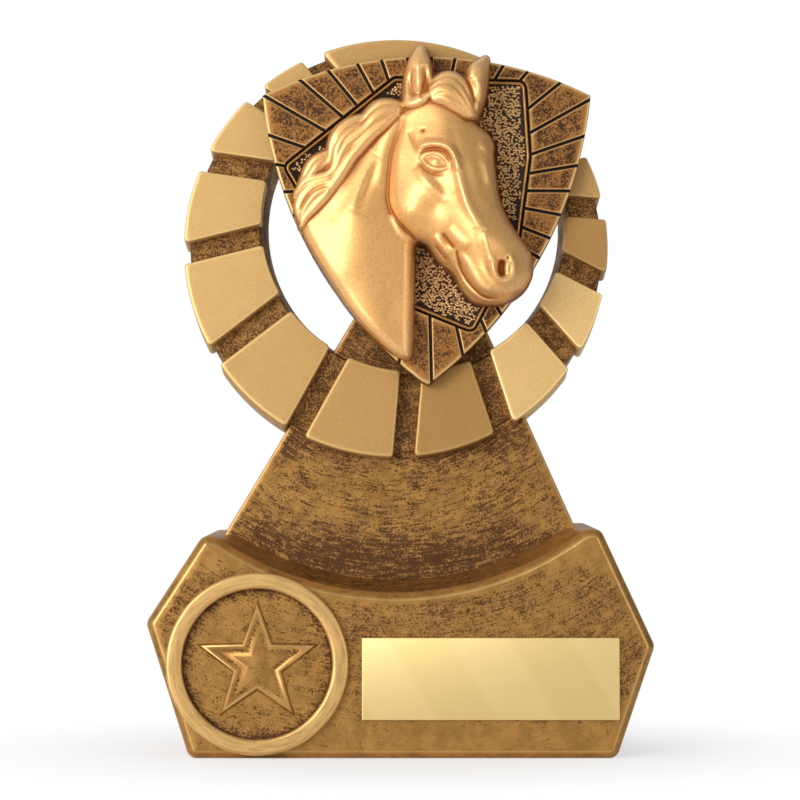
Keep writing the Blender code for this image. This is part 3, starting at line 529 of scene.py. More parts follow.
def speckle_group():
    """Rubbed metal paint over a dark wash: a mask of where the gold shows, and the height of it."""
    name = "Rubbed Wash"
    if name in bpy.data.node_groups:
        return bpy.data.node_groups[name]
    tree, build, source, result = new_group(name, (
        ("Vector", "NodeSocketVector", None), ("Grain", "NodeSocketFloat", 1800.0),
        ("Cover", "NodeSocketFloat", 0.5), ("Softness", "NodeSocketFloat", 0.09),
        ("Hollow", "NodeSocketFloat", 0.0), ("Worn And Highlit", "NodeSocketFloat", 0.0),
    ), (("Mask", "NodeSocketFloat"), ("Height", "NodeSocketFloat")))
    fine = build.noise(source["Vector"], source["Grain"], 3.0, 0.62)
    patch = build.noise(source["Vector"], build.sum("MULTIPLY", source["Grain"], 0.22), 2.0)
    cloud = build.noise(source["Vector"], build.sum("MULTIPLY", source["Grain"], 0.045), 2.0)
    mottle = build.sum("MULTIPLY_ADD", fine, FINE_SHARE, build.sum(
        "MULTIPLY_ADD", patch, PATCH_SHARE, build.sum("MULTIPLY", cloud, CLOUD_SHARE)))
    # More wash where the surface is hollow, which also carries painted shade; more gold on the edges, which
    # also carries painted highlight
    level = build.sum("MULTIPLY_ADD", source["Hollow"], 0.22, build.sum(
        "MULTIPLY_ADD", source["Worn And Highlit"], -0.22, build.sum("SUBTRACT", 1.0, source["Cover"])))
    low = build.sum("SUBTRACT", level, source["Softness"])
    high = build.sum("ADD", level, source["Softness"])
    tree.links.new(build.ramp(mottle, low, high), result["Mask"])
    tree.links.new(build.sum("MULTIPLY_ADD", fine, 0.6, build.sum("MULTIPLY", patch, 0.4)), result["Height"])
    return tree


def streak_group():
    """Fine brushed streaks along the first axis of the vector."""
    name = "Brushed Streaks"
    if name in bpy.data.node_groups:
        return bpy.data.node_groups[name]
    tree, build, source, result = new_group(name, (
        ("Vector", "NodeSocketVector", None), ("Stretch", "NodeSocketVector", (0.1, 1.0, 1.0)),
        ("Grain", "NodeSocketFloat", 2500.0),
    ), (("Value", "NodeSocketFloat"),))
    drawn = build.add("ShaderNodeVectorMath", {0: source["Vector"], 1: source["Stretch"]},
                      operation="MULTIPLY").outputs[0]
    tree.links.new(build.noise(drawn, source["Grain"], 3.0, 0.6), result["Value"])
    return tree


def opaque(values):
    """A colour with full alpha."""
    return (*values, 1.0)


def start_material(name, roughness, metallic):
    """A material with one Principled shader, and what is needed to build on it."""
    material = bpy.data.materials.new(name)
    material.use_nodes = True
    build = Builder(material.node_tree)
    shader = material.node_tree.nodes["Principled BSDF"]
    shader.inputs["Roughness"].default_value = roughness
    shader.inputs["Metallic"].default_value = metallic
    place = build.add("ShaderNodeTexCoord").outputs["Object"]
    return material, build, shader, place


def grouped(build, tree, inputs):
    """A node group placed in a material."""
    return build.add("ShaderNodeGroup", inputs, node_tree=tree).outputs


def bumped(build, shader, height, strength, distance):
    """Relief on the shader's normal."""
    bump = build.add("ShaderNodeBump", {"Height": height, "Strength": strength, "Distance": distance})
    build.tree.links.new(bump.outputs[0], shader.inputs["Normal"])


def round_place(build, place, centre, radius, start):
    """Coordinates round a centre seen from the front: along the round, the depth and the radius.
    The way round is counted from straight up where start is 1, and from straight down where it is -1."""
    split = build.add("ShaderNodeSeparateXYZ", {0: place}).outputs
    across = build.sum("SUBTRACT", split[0], centre[0])
    up = build.sum("SUBTRACT", split[2], centre[1])
    turn = build.sum("ARCTAN2", across, build.sum("MULTIPLY", up, start))
    away = build.sum("SQRT", build.sum("MULTIPLY_ADD", across, across, build.sum("MULTIPLY", up, up)))
    return build.add("ShaderNodeCombineXYZ", {
        0: build.sum("MULTIPLY", turn, radius), 1: split[1], 2: away}).outputs[0]


def swept_place(build, place):
    """Coordinates that follow the scoop: along its curve, its depth and its radius."""
    base = settings().base
    centre = (base.scoop_middle, base.scoop_floor + base.scoop_radius)
    return round_place(build, place, centre, base.scoop_radius, -1.0)


def antique(name, cover, streaks=1.5, painted_light_bands=()):
    """Antique gold: gold paint rubbed through a brown wash, brighter on worn edges, which also carry painted
    highlight.
    Each band says from which height to which painted shade comes in through the wash, and by how much; a
    negative amount paints light instead."""
    if name in bpy.data.materials:
        return bpy.data.materials[name]
    finishes = settings().finishes
    material, build, shader, place = start_material(name, ANTIQUE_ROUGHNESS, 0.75)
    worn, hollow = build.mark("worn"), build.mark("hollow")
    height = build.add("ShaderNodeSeparateXYZ", {0: place}).outputs[2]
    # Painted shade and painted light by height, added to the hollows' wash
    for low, high, amount in painted_light_bands:
        hollow = build.sum("ADD", hollow, build.ramp(height, low, high, 0.0, amount))
    if streaks:
        strokes = grouped(build, streak_group(), {
            "Vector": swept_place(build, place), "Stretch": (0.09, 0.5, 1.0),
            "Grain": ANTIQUE_GRAIN})["Value"]
        hollow = build.sum("MULTIPLY_ADD", build.sum("SUBTRACT", 0.5, strokes), streaks, hollow)
    rubbed = grouped(build, speckle_group(), {
        "Vector": place, "Grain": ANTIQUE_GRAIN, "Cover": cover, "Softness": 0.085,
        "Hollow": hollow, "Worn And Highlit": worn})
    tone = build.noise(place, 420.0, 2.0)
    gold = build.mix(build.ramp(tone, 0.3, 0.7), opaque(finishes.antique),
                     opaque([value * 0.72 for value in finishes.antique]))
    paint = build.mix(rubbed["Mask"], opaque(finishes.wash), gold)
    paint = build.mix(build.ramp(hollow, 0.5, 1.3), paint, opaque(finishes.soot))
    # Painted highlight with real wear: edges are painted bright gold
    paint = build.mix(build.ramp(worn, 0.35, 1.1, 0.0, 0.45), paint, opaque(finishes.bright))
    build.tree.links.new(paint, shader.inputs["Base Color"])
    polish = build.ramp(rubbed["Mask"], 0.0, 1.0, ANTIQUE_ROUGHNESS + 0.12, ANTIQUE_ROUGHNESS - 0.06)
    build.tree.links.new(polish, shader.inputs["Roughness"])
    bumped(build, shader, rubbed["Height"], 0.35, 0.00012)
    return material


def sandy_gold():
    """Matt sandy gold with a fine grain, bright along the edges from wear and painted highlight; each
    block's paint is toned with painted shade and painted highlight.
    """
    name = "sandy_gold"
    if name in bpy.data.materials:
        return bpy.data.materials[name]
    finishes = settings().finishes
    material, build, shader, place = start_material(name, 0.5, 0.6)
    grain = build.noise(place, 3800.0, 2.0, 0.7)
    cloud = build.noise(place, 130.0, 3.0)
    darker = opaque([value * share for value, share in zip(finishes.sandy, (0.80, 0.80, 0.86))])
    paint = build.mix(build.ramp(grain, 0.25, 0.75), darker, opaque(finishes.sandy))
    paint = build.mix(build.ramp(cloud, 0.35, 0.75, 0.0, 0.35), paint, darker)
    # Painted highlight with real wear: the blocks' edges are painted bright
    worn = build.mark("worn")
    paint = build.mix(build.ramp(worn, 0.3, 1.0, 0.0, 0.9), paint, opaque(finishes.bright))
    # Each block's tone darkens or lightens its paint: partly its own tone, partly painted shade and painted
    # highlight
    tone = build.mark("tone")
    block_tone_and_shade = build.add("ShaderNodeCombineXYZ", {
        0: tone, 1: build.sum("POWER", tone, 1.35), 2: build.sum("POWER", tone, 1.8)}).outputs[0]
    paint = build.add("ShaderNodeMix", {0: 1.0, 6: paint, 7: block_tone_and_shade},
                      data_type="RGBA", blend_type="MULTIPLY").outputs[2]
    build.tree.links.new(paint, shader.inputs["Base Color"])
    bumped(build, shader, grain, 0.25, 0.00008)
    return material


def tile_brown():
    """Reddish brown tiles mottled with gold, soot in the grooves, gold on the edges from wear and painted
    highlight.
    """
    name = "tile_brown"
    if name in bpy.data.materials:
        return bpy.data.materials[name]
    finishes = settings().finishes
    material, build, shader, place = start_material(name, 0.45, 0.6)
    worn, hollow = build.mark("worn"), build.mark("hollow")
    rubbed = grouped(build, speckle_group(), {
        "Vector": place, "Grain": 2500.0, "Cover": 0.505, "Softness": 0.09, "Hollow": hollow, "Worn And Highlit": worn})
    glint = build.ramp(build.noise(place, 2600.0, 3.0, 0.7), 0.60, 0.74)
    paint = build.mix(rubbed["Mask"], opaque(finishes.tile_wash), opaque(finishes.tile))
    paint = build.mix(build.sum("MULTIPLY", glint, 0.55), paint, opaque(finishes.antique))
    paint = build.mix(build.ramp(hollow, 0.2, 0.9), paint, opaque(finishes.soot))
    # Painted highlight with real wear: the tiles' edges are painted bright
    paint = build.mix(build.ramp(worn, 0.3, 1.0, 0.0, 0.9), paint, opaque(finishes.bright))
    build.tree.links.new(paint, shader.inputs["Base Color"])
    bumped(build, shader, rubbed["Height"], 0.5, 0.0002)
    return material


def pebble_gold():
    """Dark gold pebbles, rubbed gold in patches over a dark wash."""
    name = "pebble_gold"
    if name in bpy.data.materials:
        return bpy.data.materials[name]
    finishes = settings().finishes
    material, build, shader, place = start_material(name, 0.4, 0.75)
    patch = build.noise(place, 900.0, 2.0)
    paint = build.mix(build.ramp(patch, 0.18, 0.45), opaque(finishes.wash), opaque(finishes.pebble))
    build.tree.links.new(paint, shader.inputs["Base Color"])
    return material


def horse_gold():
    """Polished gold, painted orange-dark in the creases as painted shade and paler on the crests as painted
    highlight.
    """
    name = "horse_gold"
    if name in bpy.data.materials:
        return bpy.data.materials[name]
    finishes = settings().finishes
    material, build, shader, place = start_material(name, 0.33, 0.6)
    shader.inputs["Coat Weight"].default_value = 0.3
    shader.inputs["Coat Roughness"].default_value = 0.32
    worn, hollow = build.mark("worn"), build.mark("hollow")
    cloud = build.noise(place, 260.0, 3.0)
    fine = build.noise(place, 2400.0, 2.0, 0.6)
    # Painted shade: creases go orange-dark, with random clouds of tone
    shade = build.sum("MULTIPLY_ADD", build.sum("SUBTRACT", cloud, 0.5), 0.5, hollow)
    paint = build.mix(build.ramp(shade, 0.0, 0.7), opaque(finishes.horse), opaque(finishes.horse_shade))
    paler = opaque([min(1.0, value * share) for value, share in zip(finishes.horse, (1.12, 1.3, 1.75))])
    # Painted highlight: crests go paler, towards white
    paint = build.mix(build.ramp(worn, 0.15, 0.9, 0.0, 0.5), paint, paler)
    paint = build.mix(build.ramp(fine, 0.45, 0.75, 0.0, 0.3), paint, opaque(finishes.horse_shade))
    build.tree.links.new(paint, shader.inputs["Base Color"])
    build.tree.links.new(build.ramp(shade, 0.0, 0.9, 0.38, 0.5), shader.inputs["Roughness"])
    bumped(build, shader, fine, 0.3, 0.00008)
    return material


def plate_gold():
    """Pale satin gold with faint slanting bands of painted reflection."""
    name = "plate_satin"
    if name in bpy.data.materials:
        return bpy.data.materials[name]
    finishes = settings().finishes
    material, build, shader, place = start_material(name, 0.38, 0.9)
    split = build.add("ShaderNodeSeparateXYZ", {0: place}).outputs
    # Painted reflection: faint slanting light and dark bands across the plate
    slant = build.sum("MULTIPLY_ADD", split[2], 0.62, split[0])
    painted_light_bands = build.ramp(build.sum("SINE", build.sum("MULTIPLY", slant, 300.0)), -0.25, 0.25)
    darker = opaque([value * share for value, share in zip(finishes.plate, (0.96, 0.95, 0.91))])
    paint = build.mix(painted_light_bands, darker, opaque(finishes.plate))
    build.tree.links.new(paint, shader.inputs["Base Color"])
    strokes = grouped(build, streak_group(), {
        "Vector": place, "Stretch": (0.05, 1.0, 1.0), "Grain": 3000.0})["Value"]
    build.tree.links.new(build.ramp(strokes, 0.3, 0.7, 0.44, 0.48), shader.inputs["Roughness"])
    return material


def rim_gold():
    """Brushed gold of the medallion's rim, streaked along its round."""
    name = "rim_gold"
    if name in bpy.data.materials:
        return bpy.data.materials[name]
    finishes = settings().finishes
    material, build, shader, place = start_material(name, 0.38, 0.8)
    along_rim = round_place(build, place, medallion_centre(), settings().medallion.radius, 1.0)
    strokes = grouped(build, streak_group(), {
        "Vector": along_rim, "Stretch": (0.08, 1.0, 1.0), "Grain": 2600.0})["Value"]
    darker = opaque([value * 0.72 for value in finishes.rim])
    paint = build.mix(build.ramp(strokes, 0.32, 0.6), darker, opaque(finishes.rim))
    build.tree.links.new(paint, shader.inputs["Base Color"])
    bumped(build, shader, strokes, 0.15, 0.0001)
    return material


def geometry_tree(name, inputs):
    """A geometry node tree with named inputs, its builder, its input sockets and its output."""
    tree = bpy.data.node_groups.new(name, "GeometryNodeTree")
    tree.interface.new_socket("Geometry", in_out="INPUT", socket_type="NodeSocketGeometry")
    for label, kind in inputs:
        tree.interface.new_socket(label, in_out="INPUT", socket_type=kind)
    tree.interface.new_socket("Geometry", in_out="OUTPUT", socket_type="NodeSocketGeometry")
    build = Builder(tree)
    return tree, build, build.add("NodeGroupInput").outputs, build.add("NodeGroupOutput").inputs


def end_tree(build, shape, material, result):
    """Realize the instances, set the material and end the tree."""
    real = build.add("GeometryNodeRealizeInstances", {0: shape}).outputs[0]
    smooth = build.add("GeometryNodeSetShadeSmooth", {"Geometry": real}).outputs[0]
    painted = build.add("GeometryNodeSetMaterial", {"Geometry": smooth, "Material": material}).outputs[0]
    build.tree.links.new(painted, result["Geometry"])


def grow(item, tree, values):
    """Run a geometry tree on an object and keep its result as the object's mesh."""
    grown = item.modifiers.new("grown", "NODES")
    grown.node_group = tree
    sockets = {socket.name: socket.identifier for socket in tree.interface.items_tree
               if socket.in_out == "INPUT"}
    for label, value in values.items():
        grown[sockets[label]] = value
    replace_mesh(item)
    return item


def swept_line_tree():
    """A round bead along the edges of the mesh."""
    tree, build, source, result = geometry_tree("Bead Along Line", (
        ("Radius", "NodeSocketFloat"), ("Sides", "NodeSocketInt"), ("Material", "NodeSocketMaterial")))
    line = build.add("GeometryNodeMeshToCurve", {"Mesh": source["Geometry"]}).outputs[0]
    profile = build.add("GeometryNodeCurvePrimitiveCircle", {
        "Resolution": source["Sides"], "Radius": source["Radius"]}).outputs[0]
    bead = build.add("GeometryNodeCurveToMesh", {"Curve": line, "Profile Curve": profile}).outputs[0]
    end_tree(build, bead, source["Material"], result)
    return tree


def rim_tree():
    """A rounded rim round a circle."""
    tree, build, source, result = geometry_tree("Round Rim", (
        ("Radius", "NodeSocketFloat"), ("Width", "NodeSocketFloat"), ("Height", "NodeSocketFloat"),
        ("Rounding", "NodeSocketFloat"), ("Material", "NodeSocketMaterial")))
    path = build.add("GeometryNodeCurvePrimitiveCircle", {
        "Resolution": 160, "Radius": source["Radius"]}).outputs[0]
    block = build.add("GeometryNodeCurvePrimitiveQuadrilateral", {
        "Width": source["Width"], "Height": source["Height"]}).outputs[0]
    soft = build.add("GeometryNodeFilletCurve", {
        "Curve": block, "Radius": source["Rounding"], "Count": 6}, mode="POLY").outputs[0]
    rim = build.add("GeometryNodeCurveToMesh", {"Curve": path, "Profile Curve": soft}).outputs[0]
    end_tree(build, rim, source["Material"], result)
    return tree


def pebble_tree():
    """Flat pebbles strewn over a surface, never closer than the gap."""
    tree, build, source, result = geometry_tree("Strewn Pebbles", (
        ("Radius", "NodeSocketFloat"), ("Gap", "NodeSocketFloat"), ("Seed", "NodeSocketInt"),
        ("Material", "NodeSocketMaterial")))
    spread = build.add("GeometryNodeDistributePointsOnFaces", {
        "Mesh": source["Geometry"], "Distance Min": source["Gap"], "Density Max": PEBBLE_DENSITY,
        "Seed": source["Seed"]}, distribute_method="POISSON").outputs
    stone = build.add("GeometryNodeMeshIcoSphere", {
        "Radius": source["Radius"], "Subdivisions": 2}).outputs[0]
    size = build.add("FunctionNodeRandomValue", {
        0: PEBBLE_LEAST, 1: PEBBLE_MOST, "Seed": source["Seed"]}, data_type="FLOAT_VECTOR").outputs[0]
    strewn = build.add("GeometryNodeInstanceOnPoints", {
        "Points": spread["Points"], "Instance": stone, "Rotation": spread["Rotation"],
        "Scale": size}).outputs[0]
    end_tree(build, strewn, source["Material"], result)
    return tree


def block_tree():
    """Raised blocks with rounded front edges, one from each face."""
    tree, build, source, result = geometry_tree("Raised Blocks", (
        ("Depth", "NodeSocketFloat"), ("Rounding", "NodeSocketFloat"), ("Material", "NodeSocketMaterial")))
    back = build.add("GeometryNodeFlipFaces", {"Mesh": source["Geometry"]}).outputs[0]
    shape, chosen = source["Geometry"], None
    straight = build.sum("SUBTRACT", source["Depth"], source["Rounding"])
    # Rise, scale, and edge wear with painted highlight of each step: the straight side first, then rises as
    # shares of the rounding
    steps = ((straight, 1.0, 0.0), (0.42, 0.994, 0.3), (0.30, 0.985, 1.0), (0.18, 0.978, 1.0),
             (0.08, 0.968, 0.6), (0.02, 0.94, 0.0))
    for rise, scale, wear_and_highlight in steps:
        if not isinstance(rise, bpy.types.NodeSocket):
            rise = build.sum("MULTIPLY", source["Rounding"], rise)
        inputs = {"Mesh": shape, "Offset Scale": rise, "Individual": True}
        if chosen:
            inputs["Selection"] = chosen
        raised = build.add("GeometryNodeExtrudeMesh", inputs, mode="FACES").outputs
        chosen = raised["Top"]
        drawn_in = build.add("GeometryNodeScaleElements", {
            "Geometry": raised["Mesh"], "Selection": chosen, "Scale": scale}, domain="FACE").outputs[0]
        shape = build.add("GeometryNodeStoreNamedAttribute", {
            "Geometry": drawn_in, "Selection": chosen, "Name": "worn", "Value": wear_and_highlight},
            data_type="FLOAT", domain="POINT").outputs[0]
    both = build.add("GeometryNodeJoinGeometry")
    build.tree.links.new(shape, both.inputs[0])
    build.tree.links.new(back, both.inputs[0])
    closed = build.add("GeometryNodeMergeByDistance", {
        "Geometry": both.outputs[0], "Distance": 1e-6}).outputs[0]
    end_tree(build, closed, source["Material"], result)
    return tree


def base_outline(depth, amount, share):
    """The base's outline at a depth behind its front, moved inwards by amount.
    Share says how far back the section is, from 0 to 1."""
    base = settings().base
    corners = [(-base.bottom_left, 0.0), (base.bottom_right, 0.0), (base.shoulder, base.right_height),
               (base.top_right, base.top_right_height), (-base.top_left, base.top_left_height),
               (-base.shoulder, base.left_height)]
    corners = inset(corners, amount)
    radius = max(base.corner - amount, LEAST_CORNER)
    around = [fillet(corners[index - 1], corner, corners[(index + 1) % 6], radius)
              for index, corner in enumerate(corners)]
    right, left = around[3][-1], around[4][0]
    lift = max(depth - base.bevel, 0.0) * math.tan(base.scoop_rise)
    middle_height = base.scoop_floor + base.scoop_radius + lift
    top = []
    for step in np.linspace(0.0, 1.0, TOP_STATIONS)[1:-1]:
        across = right[0] + (left[0] - right[0]) * step
        flat = right[1] + (left[1] - right[1]) * step
        radius = base.scoop_radius + amount
        dip = middle_height - math.sqrt(radius ** 2 - (across - base.scoop_middle) ** 2)
        near = max(DIP_ROUNDING - abs(flat - dip), 0.0) / DIP_ROUNDING
        top.append((across, min(flat, dip) - near ** 2 * DIP_ROUNDING * 0.25))
    points = around[1] + around[2] + around[3] + top + around[4] + around[5] + around[0]
    narrow = 1.0 - base.draft / base.shoulder * share
    return [(x * narrow, z) for x, z in points]


def base_sections():
    """Sections from the base's front to its back, and their wear."""
    base = settings().base
    back = base.middle + base.depth / 2
    tangent = math.tan(base.lean)
    run = base.depth - base.scoop_floor * tangent
    soft = 0.22 * MM
    # Distance from the front or the back, inset, and edge wear with painted highlight of each section
    front = ((0.0, base.bevel + 1.2 * MM, 0.0), (0.0, base.bevel + soft, 0.35),
             (soft / 5, base.bevel + soft / 4, 1.0), (soft / 2, base.bevel - soft / 2, 0.8),
             (base.bevel / 2, base.bevel / 2, 0.12), (base.bevel - soft / 2, soft / 2, 0.7),
             (base.bevel + soft / 4, soft / 5, 0.9), (base.bevel + soft, 0.0, 0.3),
             (base.bevel + 1.0 * MM, 0.0, 0.0))
    rear = ((3.0 * MM, 0.0, 0.0), (0.9 * MM, 0.0, 0.2), (0.4 * MM, 0.12 * MM, 0.8),
            (0.12 * MM, 0.4 * MM, 0.8), (0.0, 0.9 * MM, 0.2), (0.0, 2.0 * MM, 0.0))
    sections, worn = [], []
    for depth, amount, wear_and_highlight in front:
        outline = base_outline(depth, amount, depth / run)
        sections.append([Vector((x, base_front() + z * tangent + depth, z)) for x, z in outline])
        worn.append(wear_and_highlight)
    start = front[-1][0]
    for share in np.linspace(0.0, 1.0, DEPTH_STATIONS)[1:-1]:
        depth = start + (run - rear[0][0] - start) * share
        outline = base_outline(depth, 0.0, depth / run)
        ratio = depth / run
        sections.append([Vector((x, (base_front() + z * tangent) * (1 - ratio) + back * ratio, z))
                         for x, z in outline])
        worn.append(0.0)
    for before, amount, wear_and_highlight in rear:
        outline = base_outline(run - before, amount, 1.0)
        sections.append([Vector((x, back - before, z)) for x, z in outline])
        worn.append(wear_and_highlight)
    return sections, worn


def smooth_step(values, low, high):
    """Values eased from 0 at low to 1 at high."""
    share = np.clip((values - low) / (high - low), 0.0, 1.0)
    return share * share * (3 - 2 * share)


def set_mark(item, label, values):
    """Write one value per point under a name."""
    attributes = item.data.attributes
    layer = attributes.get(label) or attributes.new(label, "FLOAT", "POINT")
    layer.data.foreach_set("value", np.asarray(values, np.float32))


def read_points(item):
    """The points of a mesh as an array."""
    points = np.zeros(len(item.data.vertices) * 3, np.float32)
    item.data.vertices.foreach_get("co", points)
    return points.reshape(-1, 3).astype(float)


class TROPHY_OT_base(bpy.types.Operator):
    """Make the base block with its bevelled front and the scoop in its top"""
    bl_idname = "trophy.base"
    bl_label = "Base"

    def execute(self, context):
        """Build the piece."""
        sections, worn = base_sections()
        block = lofted("base", sections, worn)
        medallion = settings().medallion
        well = circle(medallion_centre(), (medallion.hole + medallion.radius) / 2)
        cutter = lofted("well", [[front_point(x, z, out) for x, z in well]
                                 for out in (-medallion.sunk * 1.3, medallion.proud)])
        combine(block, cutter, "DIFFERENCE")
        # Painted light: the base is painted lighter towards its foot and along its top
        painted_light_bands = ((14.0 * MM, 3.0 * MM, -0.4), (31.0 * MM, 35.0 * MM, -0.5))
        hand_over(block, "stand", 40.0, antique("antique_base", 0.53, painted_light_bands=painted_light_bands))
        return {"FINISHED"}


def ray_at(direction, up):
    """Where a line from the burst crosses a height of the leaning frame."""
    start = burst()
    return start.x + (up - start.y) / math.tan(direction)


class TROPHY_OT_stem(bpy.types.Operator):
    """Make the tapering stem and its thicker back"""
    bl_idname = "trophy.stem"
    bl_label = "Stem"

    def execute(self, context):
        """Build the piece."""
        stem = settings().stem
        low, high = -stem.root, stem.top
        corners = [(ray_at(stem.left_ray, low), low), (ray_at(stem.right_ray, low), low),
                   (ray_at(stem.right_ray, high), high), (ray_at(stem.left_ray, high), high)]
        outline = rounded(corners, STEM_CORNER)
        # Height, inset, and edge wear with painted highlight of each section, from the back to the front
        profile = ((-stem.back, 0.7 * MM, 0.2), (0.15 * MM - stem.back, 0.25 * MM, 0.8),
                   (0.7 * MM - stem.back, 0.0, 0.2), (-1.5 * MM, 0.0, 0.0),
                   (stem.front - 0.45 * MM, 0.0, 0.4), (stem.front - 0.2 * MM, 0.08 * MM, 1.0),
                   (stem.front - 0.05 * MM, 0.25 * MM, 1.0), (stem.front, 0.5 * MM, 0.5),
                   (stem.front, 1.1 * MM, 0.0))
        body = lofted("stem", [[panel_point(x, z, out) for x, z in inset(outline, amount)]
                               for out, amount, _ in profile], [wear_and_highlight for _, _, wear_and_highlight in profile])
        sections = []
        for up, back in ((low, stem.foot_back), (stem.buttress_top, stem.back)):
            left = ray_at(stem.left_ray, up) + BUTTRESS_INSET
            right = ray_at(stem.right_ray, up) - BUTTRESS_INSET
            front = BUTTRESS_INSET - stem.back
            sections.append([panel_point(x, up, out) for x, out in
                             ((left, front), (right, front), (right, -back), (left, -back))])
        combine(body, lofted("buttress", sections), "UNION")
        # Painted shade: the stem is painted darker at its foot and under the ring
        painted_light_bands = ((42.0 * MM, 35.0 * MM, 0.45), (48.0 * MM, 54.0 * MM, 0.3))
        hand_over(body, "stand", 30.0, antique("antique_stem", 0.53, 2.2, painted_light_bands))
        return {"FINISHED"}


def groove_edge(direction, side, centre, radius):
    """Where one edge of a ring groove meets a circle, as a turn about the circle's centre."""
    along = Vector((math.cos(direction), math.sin(direction)))
    start = burst() + Vector((-along.y, along.x)) * side * settings().ring.groove_width / 2 - centre
    pace = start.dot(along)
    point = start + along * (-pace + math.sqrt(pace * pace - start.length_squared + radius * radius))
    return math.atan2(point.y, point.x)


def block_outline(first, last):
    """The outline of the block between two grooves."""
    ring = settings().ring
    middle, radius = hole_circle()
    ends = []
    outer_radius = ring.radius - ring.block_relief
    for centre, reach in ((ring_centre(), outer_radius), (middle, radius)):
        low, high = groove_edge(first, 1, centre, reach), groove_edge(last, -1, centre, reach)
        while high < low:
            high += 2 * math.pi
        ends.append((low, high))
    outside = arc(ring_centre(), outer_radius, *ends[0])
    inside = arc(middle, radius, ends[1][1], ends[1][0])
    points = outside + inside
    corners = {0, len(outside) - 1, len(outside), len(points) - 1}
    skip = max(1, round(ring.block_corner / (ring.radius * ARC_STEP)))
    outline = []
    for index, point in enumerate(points):
        if index in corners:
            before = points[(index - 1) % len(points)]
            after = points[(index + 1) % len(points)]
            outline += fillet(before, point, after, ring.block_corner * 0.6, 4)
        elif all(min(abs(index - corner), len(points) - abs(index - corner)) > skip for corner in corners):
            outline.append(point)
    return outline


class TROPHY_OT_ring(bpy.types.Operator):
    """Make the ring and the raised blocks on it"""
    bl_idname = "trophy.ring"
    bl_label = "Ring"

    def execute(self, context):
        """Build the pieces."""
        ring = settings().ring
        middle, hole = hole_circle()
        core_outer, core_inner = ring.radius - ring.groove_inset, hole + RING_CLEARANCE
        edge, draft = RING_EDGE, ring.hole_draft
        # Side of the core, 0 for the outer, height, and shift towards the hole's side
        profile = ((0, -ring.back, edge), (0, edge - ring.back, 0.0), (0, ring.groove_front - edge, 0.0),
                   (0, ring.groove_front, edge), (1, ring.groove_front, -edge),
                   (1, ring.groove_front - edge, 0.0), (1, edge - ring.back, draft),
                   (1, -ring.back, draft - edge))
        sections = []
        for turn in np.arange(RING_STATIONS) * 2 * math.pi / RING_STATIONS:
            spoke = Vector((math.cos(turn), math.sin(turn)))
            outer, inner = ring_centre() + spoke * core_outer, middle + spoke * core_inner
            inward = (inner - outer).normalized()
            section = []
            for side, out, shift in profile:
                spot = (inner if side else outer) + inward * shift
                section.append(panel_point(spot.x, spot.y, out))
            sections.append(section)
        core = lofted("ring", sections, closed=True)
        set_mark(core, "hollow", np.full(len(core.data.vertices), RING_HOLLOW))
        hand_over(core, "stand", 40.0, antique("antique_ring", 0.52, streaks=0.0))
        points, faces = [], []
        turns = [math.radians(value) for value in RING_GROOVES]
        for first, last in zip(turns, turns[1:] + [turns[0] + 2 * math.pi]):
            outline = block_outline(first, last)
            faces.append(tuple(range(len(points), len(points) + len(outline))))
            points += [panel_point(x, z, -ring.block_back) for x, z in outline]
        blocks = piece("ring_blocks", points, faces)
        # Each block's tone carries painted shade and painted highlight as well as its paint's own tone
        blocks.data.attributes.new("tone", "FLOAT", "FACE").data.foreach_set("value", BLOCK_TONES_AND_SHADE)
        grow(blocks, block_tree(), {"Depth": ring.block_back + ring.block_front, "Rounding": ring.block_edge,
                                    "Material": sandy_gold()})
        hand_over(blocks, "stand", 40.0)
        return {"FINISHED"}


def star_outline():
    """The ten corners of the star."""
    medallion = settings().medallion
    points = []
    for step in range(10):
        reach = medallion.star * (medallion.star_waist if step % 2 else 1.0)
        turn = math.radians(90.0 + 36.0 * step)
        points.append(tuple(medallion_centre() + Vector((math.cos(turn), math.sin(turn))) * reach))
    return points


